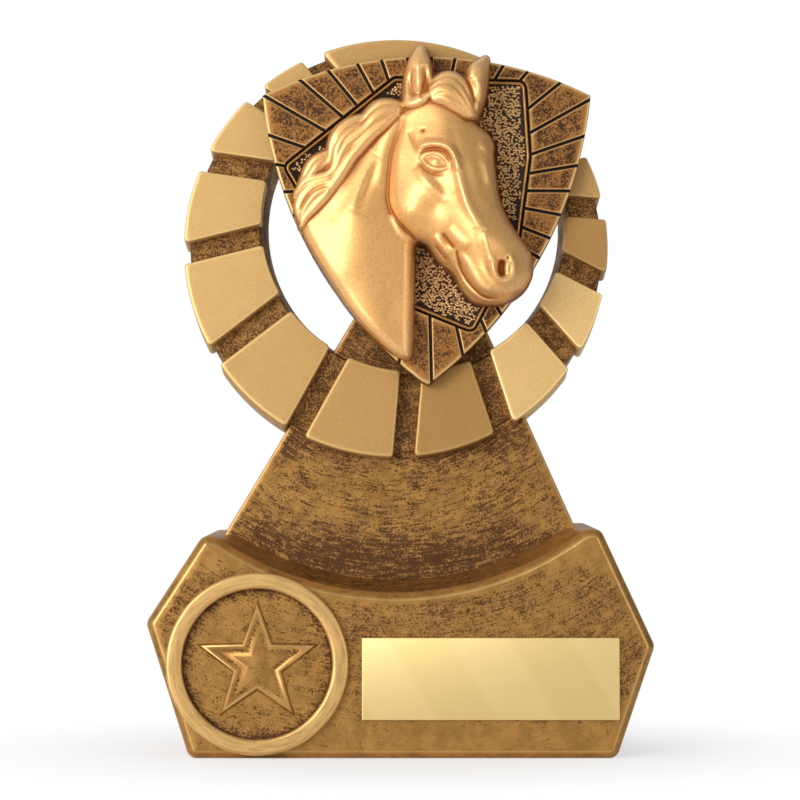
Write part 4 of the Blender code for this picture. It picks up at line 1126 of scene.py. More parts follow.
class TROPHY_OT_medallion(bpy.types.Operator):
    """Make the medallion's rim, its recess and the star"""
    bl_idname = "trophy.medallion"
    bl_label = "Medallion"

    def execute(self, context):
        """Build the pieces."""
        medallion = settings().medallion
        rim = piece("medallion_rim", [(0.0, 0.0, 0.0)], [])
        height = medallion.proud + medallion.sunk
        grow(rim, rim_tree(), {
            "Radius": (medallion.radius + medallion.hole) / 2, "Width": medallion.radius - medallion.hole,
            "Height": height - 0.06 * MM, "Rounding": 0.6 * MM, "Material": rim_gold()})
        points = read_points(rim)
        middle = (medallion.proud - medallion.sunk) / 2
        centre = medallion_centre()
        placed = [front_point(centre.x + x, centre.y + y, middle + z) for x, y, z in points]
        rim.data.vertices.foreach_set("co", np.array(placed, np.float32).ravel())
        face_outwards(rim)
        hand_over(rim, "stand", 60.0)
        floor = -medallion.sunk
        disc = circle(centre, medallion.hole + 0.3 * MM)
        recess = lofted("medallion_recess", [
            [front_point(x, z, out) for x, z in inset(disc, amount)]
            for out, amount in ((floor - 0.6 * MM, 0.0), (floor, 0.0), (floor, 0.9 * MM), (floor, 2.2 * MM),
                                (floor, 5.0 * MM), (floor, 9.0 * MM))])
        # Painted shade: the recess is darker next to the rim, where the rim shades it
        set_mark(recess, "hollow", np.repeat((0.9, 0.9, 0.3, 0.0, 0.0, 0.0), len(disc)))
        hand_over(recess, "stand", 40.0, antique("antique_recess", 0.56))
        outline = star_outline()
        # Height, inset, edge wear with painted highlight, and hollow of each section, from the star's foot
        # to its middle
        profile = ((floor - 0.2 * MM, 0.0, 0.0, 0.5), (floor + 0.1 * MM, 0.0, 0.1, 0.4),
                   (floor + 0.62 * MM, 0.42 * MM, 0.75, 0.0), (floor + 0.7 * MM, 0.6 * MM, 0.9, 0.0),
                   (floor + 0.62 * MM, 0.85 * MM, 0.4, 0.0), (floor + 0.35 * MM, 1.3 * MM, 0.0, 0.45),
                   (floor + 0.42 * MM, 1.75 * MM, 0.1, 0.2), (floor + 0.72 * MM, 2.2 * MM, 0.6, 0.0),
                   (floor + 0.78 * MM, 2.6 * MM, 0.1, 0.1))
        star = lofted("star", [[front_point(x, z, out) for x, z in inset(outline, amount)]
                               for out, amount, _, _ in profile], [wear_and_highlight for _, _, wear_and_highlight, _ in profile])
        set_mark(star, "hollow", np.repeat([hollow for _, _, _, hollow in profile], len(outline)))
        hand_over(star, "stand", 50.0, antique("antique_star", 0.60))
        return {"FINISHED"}


def arc_between(start, end, bulge):
    """Points of an arc from start to end that swells out to the right of the way by bulge."""
    start, end = Vector(start), Vector(end)
    chord = end - start
    radius = chord.length_squared / (8 * bulge) + bulge / 2
    right = Vector((chord.y, -chord.x)).normalized()
    centre = (start + end) / 2 + right * (bulge - radius)
    first = math.atan2(start.y - centre.y, start.x - centre.x)
    last = math.atan2(end.y - centre.y, end.x - centre.x)
    while last < first:
        last += 2 * math.pi
    return arc(centre, radius, first, last)


def shield_outline():
    """The shield's outline from the burst, counter-clockwise from its tip, and its three corners."""
    shield = settings().shield
    tip, right = (0.0, -shield.tip), (shield.half_width, shield.shoulder)
    left = (-shield.half_width, shield.shoulder)
    sides = [arc_between(tip, right, shield.bulge), arc_between(right, left, shield.top - shield.shoulder),
             arc_between(left, tip, shield.bulge)]
    return [point for side in sides for point in side[:-1]], (tip, right, left)


def reach(outline, origin, direction):
    """Distance from a point inside an outline to the outline along a direction."""
    best = None
    for first, second in zip(outline, outline[1:] + outline[:1]):
        ax, ay = first[0] - origin[0], first[1] - origin[1]
        ex, ey = second[0] - first[0], second[1] - first[1]
        cross = direction[0] * ey - direction[1] * ex
        if abs(cross) < 1e-15:
            continue
        away = (ax * ey - ay * ex) / cross
        share = (ax * direction[1] - ay * direction[0]) / cross
        if away > 0 and -1e-9 <= share <= 1 + 1e-9 and (best is None or away > best):
            best = away
    return best


def tile_columns(corners):
    """Columns across all tiles and grooves: direction, shift to the side, depth, edge wear with painted
    highlight, and hollow.
    """
    shield = settings().shield
    half, deep = shield.groove_width / 2, shield.groove_depth
    # Shift as a share of half the groove's width, depth, edge wear with painted highlight, and hollow
    groove = ((0.0, deep, 0.0, 1.0), (0.45, deep * 0.92, 0.0, 1.0), (0.9, deep * 0.25, 0.0, 0.9),
              (1.15, 0.05 * MM, 0.75, 0.1), (1.6, 0.0, 0.6, 0.0), (2.4, 0.0, 0.0, 0.0))
    turns = [math.radians(value) for value in TILE_GROOVES]
    columns = []
    corner_turns = sorted(math.atan2(y, x) % (2 * math.pi) for x, y in corners)
    for this, after in zip(turns, turns[1:] + [turns[0] + 2 * math.pi]):
        for share, depth, wear_and_highlight, hollow in reversed(groove[1:]):
            columns.append((this, -share * half, depth, wear_and_highlight, hollow))
        for share, depth, wear_and_highlight, hollow in groove:
            columns.append((this, share * half, depth, wear_and_highlight, hollow))
        edge = groove[-1][0] * half
        shares = {0.25, 0.5, 0.75}
        for corner in corner_turns:
            for value in (corner, corner + 2 * math.pi):
                if this + 0.03 < value < after - 0.03:
                    shares.add((value - this) / (after - this))
        for share in sorted(shares):
            columns.append((this + (after - this) * share, edge * (1 - 2 * share), 0.0, 0.0, 0.0))
    return columns


def shield_rows(ends, floor, back):
    """Rows from the burst over the shield's front and back behind it: distance, height, edge wear with
    painted highlight, hollow.
    The ends are how far off the panel's foot, corner and lip, the front face and the outline lie."""
    shield = settings().shield
    inner, border, edge, rim, outer = ends
    top = back + shield.thick
    wall, bevel, gap = edge - border, outer - rim, rim - edge
    rows = [(0.0, floor, 0.0, 0.15), (inner * 0.5, floor, 0.0, 0.15), (inner, floor, 0.0, 0.8),
            (border, floor + 0.08 * MM, 0.0, 1.0), (border + wall * 0.35, top - 0.5 * MM, 0.0, 1.0),
            (border + wall * 0.8, top - 0.12 * MM, 0.5, 0.6), (edge, top, 0.7, 0.1)]
    for share in np.linspace(0.0, 1.0, TILE_STATIONS)[1:]:
        rows.append((edge + gap * share, top, 0.55 if share == 1.0 else 0.0, 0.0))
    return rows + [
        (rim + bevel * 0.45, top - shield.bevel * 0.12, 1.0, 0.0),
        (rim + bevel * 0.8, top - shield.bevel * 0.45, 1.0, 0.0),
        (outer, top - shield.bevel, 0.6, 0.0), (outer, top - shield.bevel - 0.7 * MM, 0.0, 0.1),
        (outer, back + 0.2 * MM, 0.0, 0.2), (outer - 0.2 * MM, back, 0.0, 0.2),
        (inner * 0.5, back, 0.0, 0.2), (0.0, back, 0.0, 0.2)]


def panel_line(panel, height):
    """Make the raised line round the sunk panel, at a height over the leaning frame."""
    shield, start = settings().shield, burst()
    line = [panel_point(start.x + x, start.y + z, height) for x, z in inset(panel, shield.border * 0.9)]
    edges = [(index, (index + 1) % len(line)) for index in range(len(line))]
    bead = piece("panel_border", line, [], edges=edges)
    grow(bead, swept_line_tree(), {
        "Radius": shield.border, "Sides": 10, "Material": antique("antique_border", 0.62)})
    face_outwards(bead)
    # Painted highlight with real wear along the bead
    set_mark(bead, "worn", np.full(len(bead.data.vertices), 0.35))
    hand_over(bead, "horse_shield", 60.0)


class TROPHY_OT_shield(bpy.types.Operator):
    """Make the shield plate with its tiles and the line round its panel"""
    bl_idname = "trophy.shield"
    bl_label = "Shield"

    def execute(self, context):
        """Build the pieces."""
        shield, ring = settings().shield, settings().ring
        start = burst()
        outline, corners = shield_outline()
        panel = rounded([(x * MM, z * MM) for x, z in PANEL_CORNERS], shield.panel_corner, 6)
        back = ring.block_front + shield.gap
        top = back + shield.thick
        floor = top - shield.panel_sunk
        bevelled = inset(outline, shield.bevel)
        lip, foot = inset(panel, -PANEL_LIP), inset(panel, PANEL_WALL_FOOT)
        columns = tile_columns([*corners, *[(x * MM, z * MM) for x, z in PANEL_CORNERS]])
        points, worn, hollow = [], [], []
        for turn, shift, depth, wear_and_highlight, soot in columns:
            along = Vector((math.cos(turn), math.sin(turn)))
            origin = Vector((-along.y, along.x)) * shift
            ends = [reach(line, origin, along) for line in (foot, panel, lip, bevelled, outline)]
            rows = shield_rows(ends, floor, back)
            for index, (away, out, edge_wear_and_highlight, dark) in enumerate(rows):
                grooved = 5 <= index < len(rows) - 5
                spot = origin * (0.0 if away == 0.0 else 1.0) + along * away
                level = min(out, top - depth) if grooved else out
                points.append(panel_point(start.x + spot.x, start.y + spot.y, level))
                worn.append(max(edge_wear_and_highlight, wear_and_highlight) * (1.0 - soot) if grooved else edge_wear_and_highlight)
                hollow.append(max(soot, dark) if grooved else dark)
        count = len(rows)
        faces = []
        for column in range(len(columns)):
            after = (column + 1) % len(columns)
            for row in range(count - 1):
                faces.append((column * count + row, column * count + row + 1,
                              after * count + row + 1, after * count + row))
        plate = piece("shield", points, faces, (("worn", worn), ("hollow", hollow)))
        shape = bmesh.new()
        shape.from_mesh(plate.data)
        bmesh.ops.remove_doubles(shape, verts=shape.verts, dist=1e-7)
        bmesh.ops.dissolve_degenerate(shape, edges=shape.edges, dist=1e-8)
        bmesh.ops.recalc_face_normals(shape, faces=shape.faces)
        shape.to_mesh(plate.data)
        shape.free()
        hand_over(plate, "horse_shield", 45.0, tile_brown())
        panel_line(panel, floor + 0.3 * MM)
        return {"FINISHED"}


# The horse is drawn on the photograph's 800 x 800 frame, which these bring into the leaning frame.
# Its surface is worked out in millimetres from the shield's burst, in the photograph at BURST_PIXEL
PIXEL_ACROSS = 0.1735
PIXEL_UP = 0.1755
BURST_PIXEL = (426.9, 184.6)
HORSE_LEFT, HORSE_RIGHT = -25.6, 20.0
HORSE_BOTTOM, HORSE_TOP = -36.0, 26.0
# The sketch is true at this height over the leaning frame; what is higher shows higher in the photograph
SKETCH_HEIGHT = 12.3
WALL_SLOPE = 9.0
LANDMARK_GIVE = 1.5
HAIR_CREASE = 0.15
HEAD_CREASE = 0.25
EAR_CREASE = 0.12

NECK_OUTLINE = [
    (404, 108), (383, 109), (358, 129), (337, 155), (325, 183), (308, 206), (299, 219), (301, 232),
    (309, 248), (326, 276), (346, 306), (368, 332), (392, 354), (404, 360), (411, 358), (413, 340),
    (414, 300), (414, 262), (416, 244), (432, 236), (440, 180), (430, 130),
]
NECK_HEIGHTS = {
    "poll": (400, 112, 12.2), "upper crest": (372, 124, 11.2), "middle crest": (345, 160, 11.0),
    "lower crest": (318, 205, 9.6), "upper side": (378, 160, 11.4), "middle side": (352, 215, 12.0),
    "lower side": (345, 270, 11.4), "throat": (400, 245, 11.4), "upper throat": (388, 200, 11.4),
    "breast": (385, 320, 11.0), "breast edge": (408, 310, 10.0), "tip": (404, 352, 10.0),
    "shoulder edge": (308, 240, 9.4), "low edge": (340, 295, 10.4), "under the cheek": (430, 200, 11.0),
}
NECK_ROUNDING = 2.0
HEAD_OUTLINE = [
    (397, 112), (396, 125), (389, 152), (386.5, 183), (387, 202), (393, 218), (401, 229), (411, 237.5),
    (420, 242), (428, 246), (438, 260), (450, 270), (456, 276), (463, 290), (472, 300), (482, 304),
    (495, 304.5), (508, 300), (521, 291), (528, 280), (530.5, 269), (530, 257), (526, 250), (516.5, 237),
    (507, 222), (499.5, 206), (496, 192), (494.5, 178), (493, 163), (492.5, 152), (493.5, 146), (490, 137),
    (483, 130), (474, 123), (466, 112), (452, 98), (436, 90), (415, 98),
]
HEAD_HEIGHTS = {
    "ear root": (408, 112, 12.6), "temple": (408, 140, 13.2), "rear of the brow": (416, 150, 14.2),
    "near forehead": (430, 125, 14.4), "forehead": (449, 118, 14.9), "forelock root": (446, 100, 14.0),
    "far forehead": (466, 124, 13.6), "eye": (435, 160, 15.6), "front of the eye": (450, 166, 16.4),
    "brow": (448, 150, 16.6), "face top": (456, 166, 17.0), "far face": (476, 152, 15.0),
    "far eye": (488, 146, 12.8), "upper nose": (464, 200, 17.7), "middle nose": (474, 220, 18.2),
    "lower nose": (486, 240, 18.5), "far upper nose": (484, 185, 15.6), "far middle nose": (495, 212, 15.6),
    "far lower nose": (512, 240, 15.8), "cheek": (412, 190, 15.0), "low cheek": (410, 215, 14.8),
    "cheek edge": (394, 190, 13.0), "low cheek edge": (404, 227, 12.8), "facial crest": (430, 184, 16.0),
    "below the crest": (440, 205, 15.6), "front of the cheek": (446, 222, 15.9), "jaw": (428, 238, 13.2),
    "front of the jaw": (444, 256, 13.0), "mouth corner": (457, 256, 15.0), "chin": (466, 286, 13.4),
    "lower lip": (485, 300, 14.0), "upper lip": (492, 290, 17.2), "front of the lip": (515, 288, 15.6),
    "rear of the nostril": (488, 264, 17.8), "nostril": (502, 270, 17.9), "muzzle top": (515, 258, 16.6),
    "muzzle front": (526, 264, 14.6), "side of the lip": (472, 264, 16.4),
}
HEAD_ROUNDING = 2.2
NEAR_EAR_OUTLINE = [
    (403, 107), (404.5, 92), (405.5, 78), (408.5, 65), (413, 54), (418.5, 45.5), (423.5, 45), (426.5, 54),
    (430, 66), (432, 80), (431.5, 92), (429, 102), (417, 109),
]
NEAR_EAR_HEIGHTS = {
    "left root": (406, 100, 12.8), "right root": (427, 97, 14.2), "middle": (419, 82, 14.0),
    "left rim": (407, 75, 12.8), "right rim": (430, 76, 13.8), "tip": (421, 50, 11.8),
    "upper": (419, 62, 13.4),
}
NEAR_EAR_ROUNDING = 0.8
FAR_EAR_OUTLINE = [
    (466, 84), (470, 68), (479, 59.5), (488, 54), (489.5, 64), (488, 80), (485.5, 92), (482, 104),
    (477, 113), (472, 104), (468, 94),
]
FAR_EAR_HEIGHTS = {
    "root": (476, 106, 13.6), "middle": (477, 84, 13.9), "left rim": (468, 84, 13.0),
    "right rim": (487, 80, 11.2), "tip": (486, 58, 11.0), "upper": (480, 68, 12.9),
}
FAR_EAR_ROUNDING = 1.3

# Locks of hair: across and down on the sketch, height and half width
MANE = (
    ((399, 109, 12.2, 1.3), (390, 107.5, 12.3, 1.6), (381, 109, 12.2, 1.8), (373.5, 115, 12.0, 1.7),
     (367, 123, 11.8, 1.7), (358, 132.5, 11.6, 1.6), (348, 143, 11.3, 1.6), (340, 156, 11.1, 1.5),
     (335, 169, 10.9, 1.2)),
    ((396, 110, 12.6, 0.9), (386, 112, 12.7, 1.1), (376, 118, 12.6, 1.2), (368, 127, 12.4, 1.1),
     (358, 136, 12.2, 1.2), (348, 144, 12.0, 1.2), (341, 155, 11.8, 1.1), (337, 167, 11.5, 1.0),
     (329, 175, 11.2, 0.9), (318, 178, 10.8, 0.8), (306, 182, 10.3, 0.7), (298, 189, 9.6, 0.4)),
    ((368, 118, 11.2, 0.9), (357, 121.5, 11.4, 1.2), (347, 126.5, 11.5, 1.3), (338.5, 135, 11.5, 1.3),
     (334, 146, 11.3, 1.2), (332.5, 158, 11.0, 1.1), (331, 169, 10.6, 0.9)),
    ((364, 125, 11.7, 0.7), (353, 130, 11.9, 0.8), (344, 138, 11.9, 0.8), (338, 149, 11.8, 0.8),
     (336, 161, 11.5, 0.8), (332, 172, 11.1, 0.6)),
    ((395, 114, 12.5, 0.9), (384, 124, 12.6, 1.1), (372, 134, 12.5, 1.2), (361, 146, 12.3, 1.2),
     (351, 158, 12.1, 1.1), (343, 171, 11.8, 1.1), (334, 184, 11.4, 1.1), (325, 196, 11.0, 1.1),
     (315, 207, 10.5, 1.0), (306, 217, 9.9, 0.8), (301, 227, 9.2, 0.4)),
    ((334, 158, 10.6, 1.7), (323, 166, 10.5, 2.2), (312, 179, 9.9, 1.8), (303, 192, 9.2, 0.9)),
    ((326, 155, 10.2, 0.9), (318, 160, 10.3, 1.2), (312, 167.5, 10.2, 1.4), (307.5, 177, 10.0, 1.3),
     (302, 187, 9.6, 1.0), (295, 197, 8.7, 0.4)),
    ((325, 160, 10.6, 0.6), (317, 166, 10.7, 0.7), (311, 175, 10.5, 0.7), (303, 184, 10.0, 0.6),
     (295, 193, 9.1, 0.3)),
    ((332, 182, 11.3, 0.7), (321, 184, 10.9, 1.0), (311, 189, 10.5, 1.2), (303, 198, 10.0, 1.2),
     (299, 209, 9.6, 1.0), (300, 221, 9.0, 0.5)),
    ((328, 189, 11.2, 0.5), (317, 194, 10.9, 0.6), (309, 203, 10.4, 0.6), (303, 213, 9.9, 0.5),
     (301, 222, 9.3, 0.3)),
)
FORELOCK = (
    ((434, 86, 14.0, 0.9), (441, 80, 14.3, 1.0), (450, 78, 14.5, 1.0), (458, 82, 14.5, 1.0),
     (464, 90, 14.3, 0.9), (468, 100, 14.0, 0.8), (472, 110, 13.5, 0.6), (475, 115, 13.0, 0.3)),
    ((434, 90, 14.8, 0.9), (442, 85, 15.1, 1.0), (450, 84.5, 15.2, 1.0), (457, 90, 15.1, 1.0),
     (463, 99, 14.8, 0.9), (469, 109, 14.2, 0.7), (474, 115.5, 13.4, 0.3)),
    ((434, 95, 15.1, 1.0), (442, 91.5, 15.6, 1.1), (450, 93, 15.7, 1.1), (457, 100, 15.4, 1.0),
     (463.5, 108, 14.8, 0.8), (470, 114.5, 14.0, 0.5), (474, 117, 13.3, 0.3)),
    ((435, 99.5, 15.1, 0.8), (443, 98.5, 15.5, 0.9), (451, 102.5, 15.5, 0.9), (459, 109.5, 15.0, 0.8),
     (466, 115, 14.3, 0.6), (472, 118, 13.6, 0.3)),
    ((437, 102.5, 14.9, 0.45), (446, 105, 15.1, 0.5), (455, 110.5, 14.9, 0.5), (463, 116, 14.3, 0.4),
     (469, 118.5, 13.7, 0.25)),
)
LOCK_FULLNESS = 0.8
LOCK_STRANDS = 3
LOCK_STRAND_DEPTH = 0.055

# Ridges and hollows: points on the sketch, half width and height
NECK_STROKES = (
    (((376, 157), (367, 172), (360, 190), (353, 210)), 0.8, 0.22),
    (((379, 162), (371, 178), (364, 196), (358, 216)), 0.9, -0.18),
    (((397, 120), (388, 140), (382, 165), (380, 190)), 1.2, 0.3),
    (((370, 150), (357, 172), (344, 196), (330, 222)), 1.3, -0.22),
    (((392, 214), (401, 232), (412, 242)), 0.6, 0.4),
)
FACE_STROKES = (
    (((450, 150), (456, 166), (461, 186), (467, 207), (477, 224), (484, 233)), 0.9, 0.75),
    (((482, 228), (486, 248), (489, 264), (495, 279)), 0.8, 0.28),
    (((477, 230), (480, 248), (484, 267), (491, 281)), 0.9, -0.28),
    (((418, 148), (430, 145.5), (442, 147), (450, 152), (456, 164), (457, 174)), 0.55, 0.75),
    (((420, 155), (428, 151.5), (438, 151), (447, 155), (452, 163)), 0.35, -0.5),
    (((420, 159.5), (427, 155.5), (436, 155.5), (443, 159.5), (449, 168)), 0.30, 0.55),
    (((420, 159.5), (426, 166.5), (434, 171), (442, 171.5), (450, 168.5)), 0.30, 0.45),
    (((419, 163), (424, 171), (433, 176), (444, 176)), 0.4, -0.35),
    (((418, 169), (424, 181), (434, 191), (447, 204)), 1.0, 0.38),
    (((430, 178), (440, 188), (450, 200)), 1.1, -0.25),
    (((446, 229), (452, 237), (459, 244), (466, 250)), 0.9, 0.45),
    (((442, 234), (448, 243), (455, 251)), 0.45, -0.5),
    (((433, 237), (440, 246), (447, 257)), 0.6, 0.6),
    (((434, 246), (443, 257), (450, 268)), 0.4, -0.6),
    (((455.5, 251), (458, 262), (461, 273), (468, 285), (478, 295), (488, 299.5), (503, 300.5), (516, 296)),
     0.33, -0.9),
    (((458, 255), (466, 264), (473, 278), (480, 288), (490, 293)), 0.6, 0.55),
    (((457, 268), (463, 281), (472, 292), (485, 302)), 0.4, 0.5),
    (((494.5, 260), (492, 267), (494, 276), (500, 283), (507, 284)), 0.5, 0.75),
    (((506, 256), (511, 262), (513, 270), (511, 278), (504, 284)), 0.5, 0.7),
    (((502, 262), (500, 270), (501, 279)), 0.65, -1.7),
    (((474, 150), (478, 165), (483, 184), (490, 204)), 0.9, -0.3),
    (((451, 128), (455, 145), (458, 162)), 0.8, -0.25),
    (((479, 143), (485, 149), (490, 156)), 0.6, 0.45),
    (((483, 160), (487, 172), (490, 186)), 0.6, 0.3),
    (((409, 131), (414, 144), (418, 154)), 0.35, -0.25),
)
EAR_STROKES = (
    (((411, 68), (410, 80), (412, 91), (416, 98)), 0.75, -1.0),
    (((425, 66), (426, 78), (424, 90), (419, 98)), 0.7, -1.0),
    (((419, 50), (418.5, 66), (418, 82), (417.5, 92)), 0.7, 0.25),
    (((405, 103), (411, 104), (419, 101), (428, 94)), 0.8, 0.4),
)
FAR_EAR_STROKES = (
    (((471, 78), (474, 90), (476, 104)), 0.8, -0.5),
    (((484, 66), (481, 82), (479, 100)), 1.0, 0.6),
)
# Small pits and swellings: place on the sketch, radius and height
PITS = (
    ((423, 132), 0.32, -0.38), ((507, 260), 0.75, 0.35), ((507, 260), 0.38, -0.9),
    ((434.5, 163), 0.95, 0.45),
)

# How far the carved surface is smoothed, in points of the finer grid, and how far around a place its
# hollows and crests are judged, in millimetres
CARVING_BLUR = 1.1
WIDE_BLUR = 1.3
NARROW_BLUR = 0.45


def sketch(points):
    """Pixels of the photograph as millimetres from the burst."""
    return [((u - BURST_PIXEL[0]) * PIXEL_ACROSS, (BURST_PIXEL[1] - v) * PIXEL_UP) for u, v in points]


def smooth_curve(points, closed, steps=4):
    """A Catmull-Rom curve through points of any dimension."""
    points = [np.array(point, float) for point in points]
    count = len(points)
    result = []
    for index in range(count if closed else count - 1):
        picks = [index + k if closed else min(max(index + k, 0), count - 1) for k in (-1, 0, 1, 2)]
        a, b, c, d = (points[pick % count] for pick in picks)
        bend, twist = 2 * a - 5 * b + 4 * c - d, 3 * b - a - 3 * c + d
        for t in np.arange(steps) / steps:
            result.append(b + 0.5 * t * (c - a + t * (bend + t * twist)))
    if not closed:
        result.append(points[-1])
    return np.array(result)


def along(curve, across, up):
    """Distance from each place to a curve, and the share of the curve's length passed there."""
    best = np.full(across.shape, np.inf)
    where = np.zeros(across.shape)
    lengths = np.hypot(*np.diff(curve[:, :2], axis=0).T)
    passed = 0.0
    for start, end, size in zip(curve[:-1], curve[1:], lengths):
        dx, ds = (end[0] - start[0]) / size, (end[1] - start[1]) / size
        t = np.clip((across - start[0]) * dx + (up - start[1]) * ds, 0.0, size)
        gap = np.hypot(across - start[0] - dx * t, up - start[1] - ds * t)
        where = np.where(gap < best, (passed + t) / lengths.sum(), where)
        best = np.minimum(gap, best)
        passed += size
    return best, where


def depth_inside(outline, across, up):
    """Signed distance to a closed outline, positive inside."""
    ring = np.vstack([outline, outline[:1]])
    inside = np.zeros(across.shape, bool)
    for (ax, ay), (bx, by) in zip(ring[:-1], ring[1:]):
        if ay != by:
            inside ^= ((ay > up) != (by > up)) & (across < (bx - ax) * (up - ay) / (by - ay) + ax)
    gap, _ = along(ring, across, up)
    return np.where(inside, gap, -gap)


def through(landmarks, across, up):
    """A smooth thin-plate surface near the heights of the named landmarks."""
    rows = np.array([(*sketch([(u, v)])[0], height) for u, v, height in landmarks.values()])
    count = len(rows)

    def spring(squared):
        return 0.5 * squared * np.log(np.maximum(squared, 1e-9))

    apart = (rows[:, None, 0] - rows[None, :, 0]) ** 2 + (rows[:, None, 1] - rows[None, :, 1]) ** 2
    stiff = spring(apart) + np.eye(count) * LANDMARK_GIVE
    flat = np.column_stack([np.ones(count), rows[:, 0], rows[:, 1]])
    system = np.block([[stiff, flat], [flat.T, np.zeros((3, 3))]])
    weights = np.linalg.solve(system, np.concatenate([rows[:, 2], np.zeros(3)]))
    surface = weights[count] + weights[count + 1] * across + weights[count + 2] * up
    for (x, s, _), weight in zip(rows, weights):
        surface = surface + weight * spring((across - x) ** 2 + (up - s) ** 2)
    return surface


def rounding(depth, radius):
    """How far a form drops at its outline: a quarter round, then a steep wall."""
    inner = np.clip(depth / radius, 0.0, 1.0)
    drop = radius * (1.0 - np.sqrt(1.0 - (1.0 - inner) ** 2))
    return drop + np.maximum(-depth, 0.0) * WALL_SLOPE


def merged(first, second, soft):
    """The higher of two surfaces, with the crease between them softened."""
    near = np.maximum(soft - np.abs(first - second), 0.0) / soft
    return np.maximum(first, second) + near ** 2 * soft * 0.25


def lock(points, across, up):
    """A rounded lock of hair."""
    placed = sketch([point[:2] for point in points])
    curve = smooth_curve([(*xy, *point[2:]) for xy, point in zip(placed, points)], False)
    gap, where = along(curve, across, up)
    passed = np.concatenate([[0.0], np.cumsum(np.hypot(*np.diff(curve[:, :2], axis=0).T))])
    top = np.interp(where, passed / passed[-1], curve[:, 2])
    radius = np.interp(where, passed / passed[-1], curve[:, 3])
    share = np.minimum(gap / radius, 1.0)
    round_off = 1.0 - np.sqrt(1.0 - share ** 2)
    strands = np.cos(share * LOCK_STRANDS * math.pi) * LOCK_STRAND_DEPTH * radius
    return top + strands - radius * LOCK_FULLNESS * round_off - np.maximum(gap - radius, 0.0) * WALL_SLOPE


def strokes(lines, across, up):
    """The sum of soft ridges and hollows, each thinning out towards its ends."""
    total = np.zeros(across.shape)
    for points, width, height in lines:
        gap, where = along(smooth_curve(sketch(points), False), across, up)
        thin = np.sqrt(np.clip(4.0 * where * (1.0 - where), 0.0, 1.0))
        total += height * thin * np.exp(-(gap / width) ** 2)
    return total


def pits(across, up):
    """The sum of small pits and swellings."""
    total = np.zeros(across.shape)
    for spot, radius, height in PITS:
        (x, s), = sketch([spot])
        total += height * np.exp(-((across - x) ** 2 + (up - s) ** 2) / radius ** 2)
    return total


def horse_height(across, up):
    """Height of the horse's surface over the leaning frame, in millimetres."""

    def form(outline, heights, lines, radius):
        depth = depth_inside(smooth_curve(sketch(outline), True), across, up)
        return through(heights, across, up) + strokes(lines, across, up) - rounding(depth, radius)

    surface = form(NECK_OUTLINE, NECK_HEIGHTS, NECK_STROKES, NECK_ROUNDING)
    for points in MANE:
        surface = merged(surface, lock(points, across, up), HAIR_CREASE)
    head = form(HEAD_OUTLINE, HEAD_HEIGHTS, FACE_STROKES, HEAD_ROUNDING) + pits(across, up)
    surface = merged(surface, head, HEAD_CREASE)
    far_ear = form(FAR_EAR_OUTLINE, FAR_EAR_HEIGHTS, FAR_EAR_STROKES, FAR_EAR_ROUNDING)
    surface = merged(surface, far_ear, EAR_CREASE)
    for points in FORELOCK:
        surface = merged(surface, lock(points, across, up), HAIR_CREASE)
    near_ear = form(NEAR_EAR_OUTLINE, NEAR_EAR_HEIGHTS, EAR_STROKES, NEAR_EAR_ROUNDING)
    return merged(surface, near_ear, EAR_CREASE)


def blurred(field, spread):
    """A field smoothed by a bell curve of that many cells."""
    reach_cells = int(spread * 3)
    bell = np.exp(-0.5 * (np.arange(-reach_cells, reach_cells + 1) / spread) ** 2)
    bell /= bell.sum()
    for axis in (0, 1):
        padded = np.pad(field, [(reach_cells, reach_cells) if a == axis else (0, 0) for a in (0, 1)], "edge")
        field = np.apply_along_axis(lambda row: np.convolve(row, bell, "valid"), axis, padded)
    return field


def eased(places, weight, rounds):
    """Points of a grid drawn towards the mean of their neighbours by weight."""
    for _ in range(rounds):
        beside = [np.roll(places, way, axis) for axis in (0, 1) for way in (1, -1)]
        places = places + (sum(beside) / 4 - places) * weight[..., None]
    return places


def seen_up(up, height):
    """Where a point of the sketch lies along the lean, for its height over the leaning frame."""
    return up - (height - SKETCH_HEIGHT) * math.tan(settings().stem.lean)


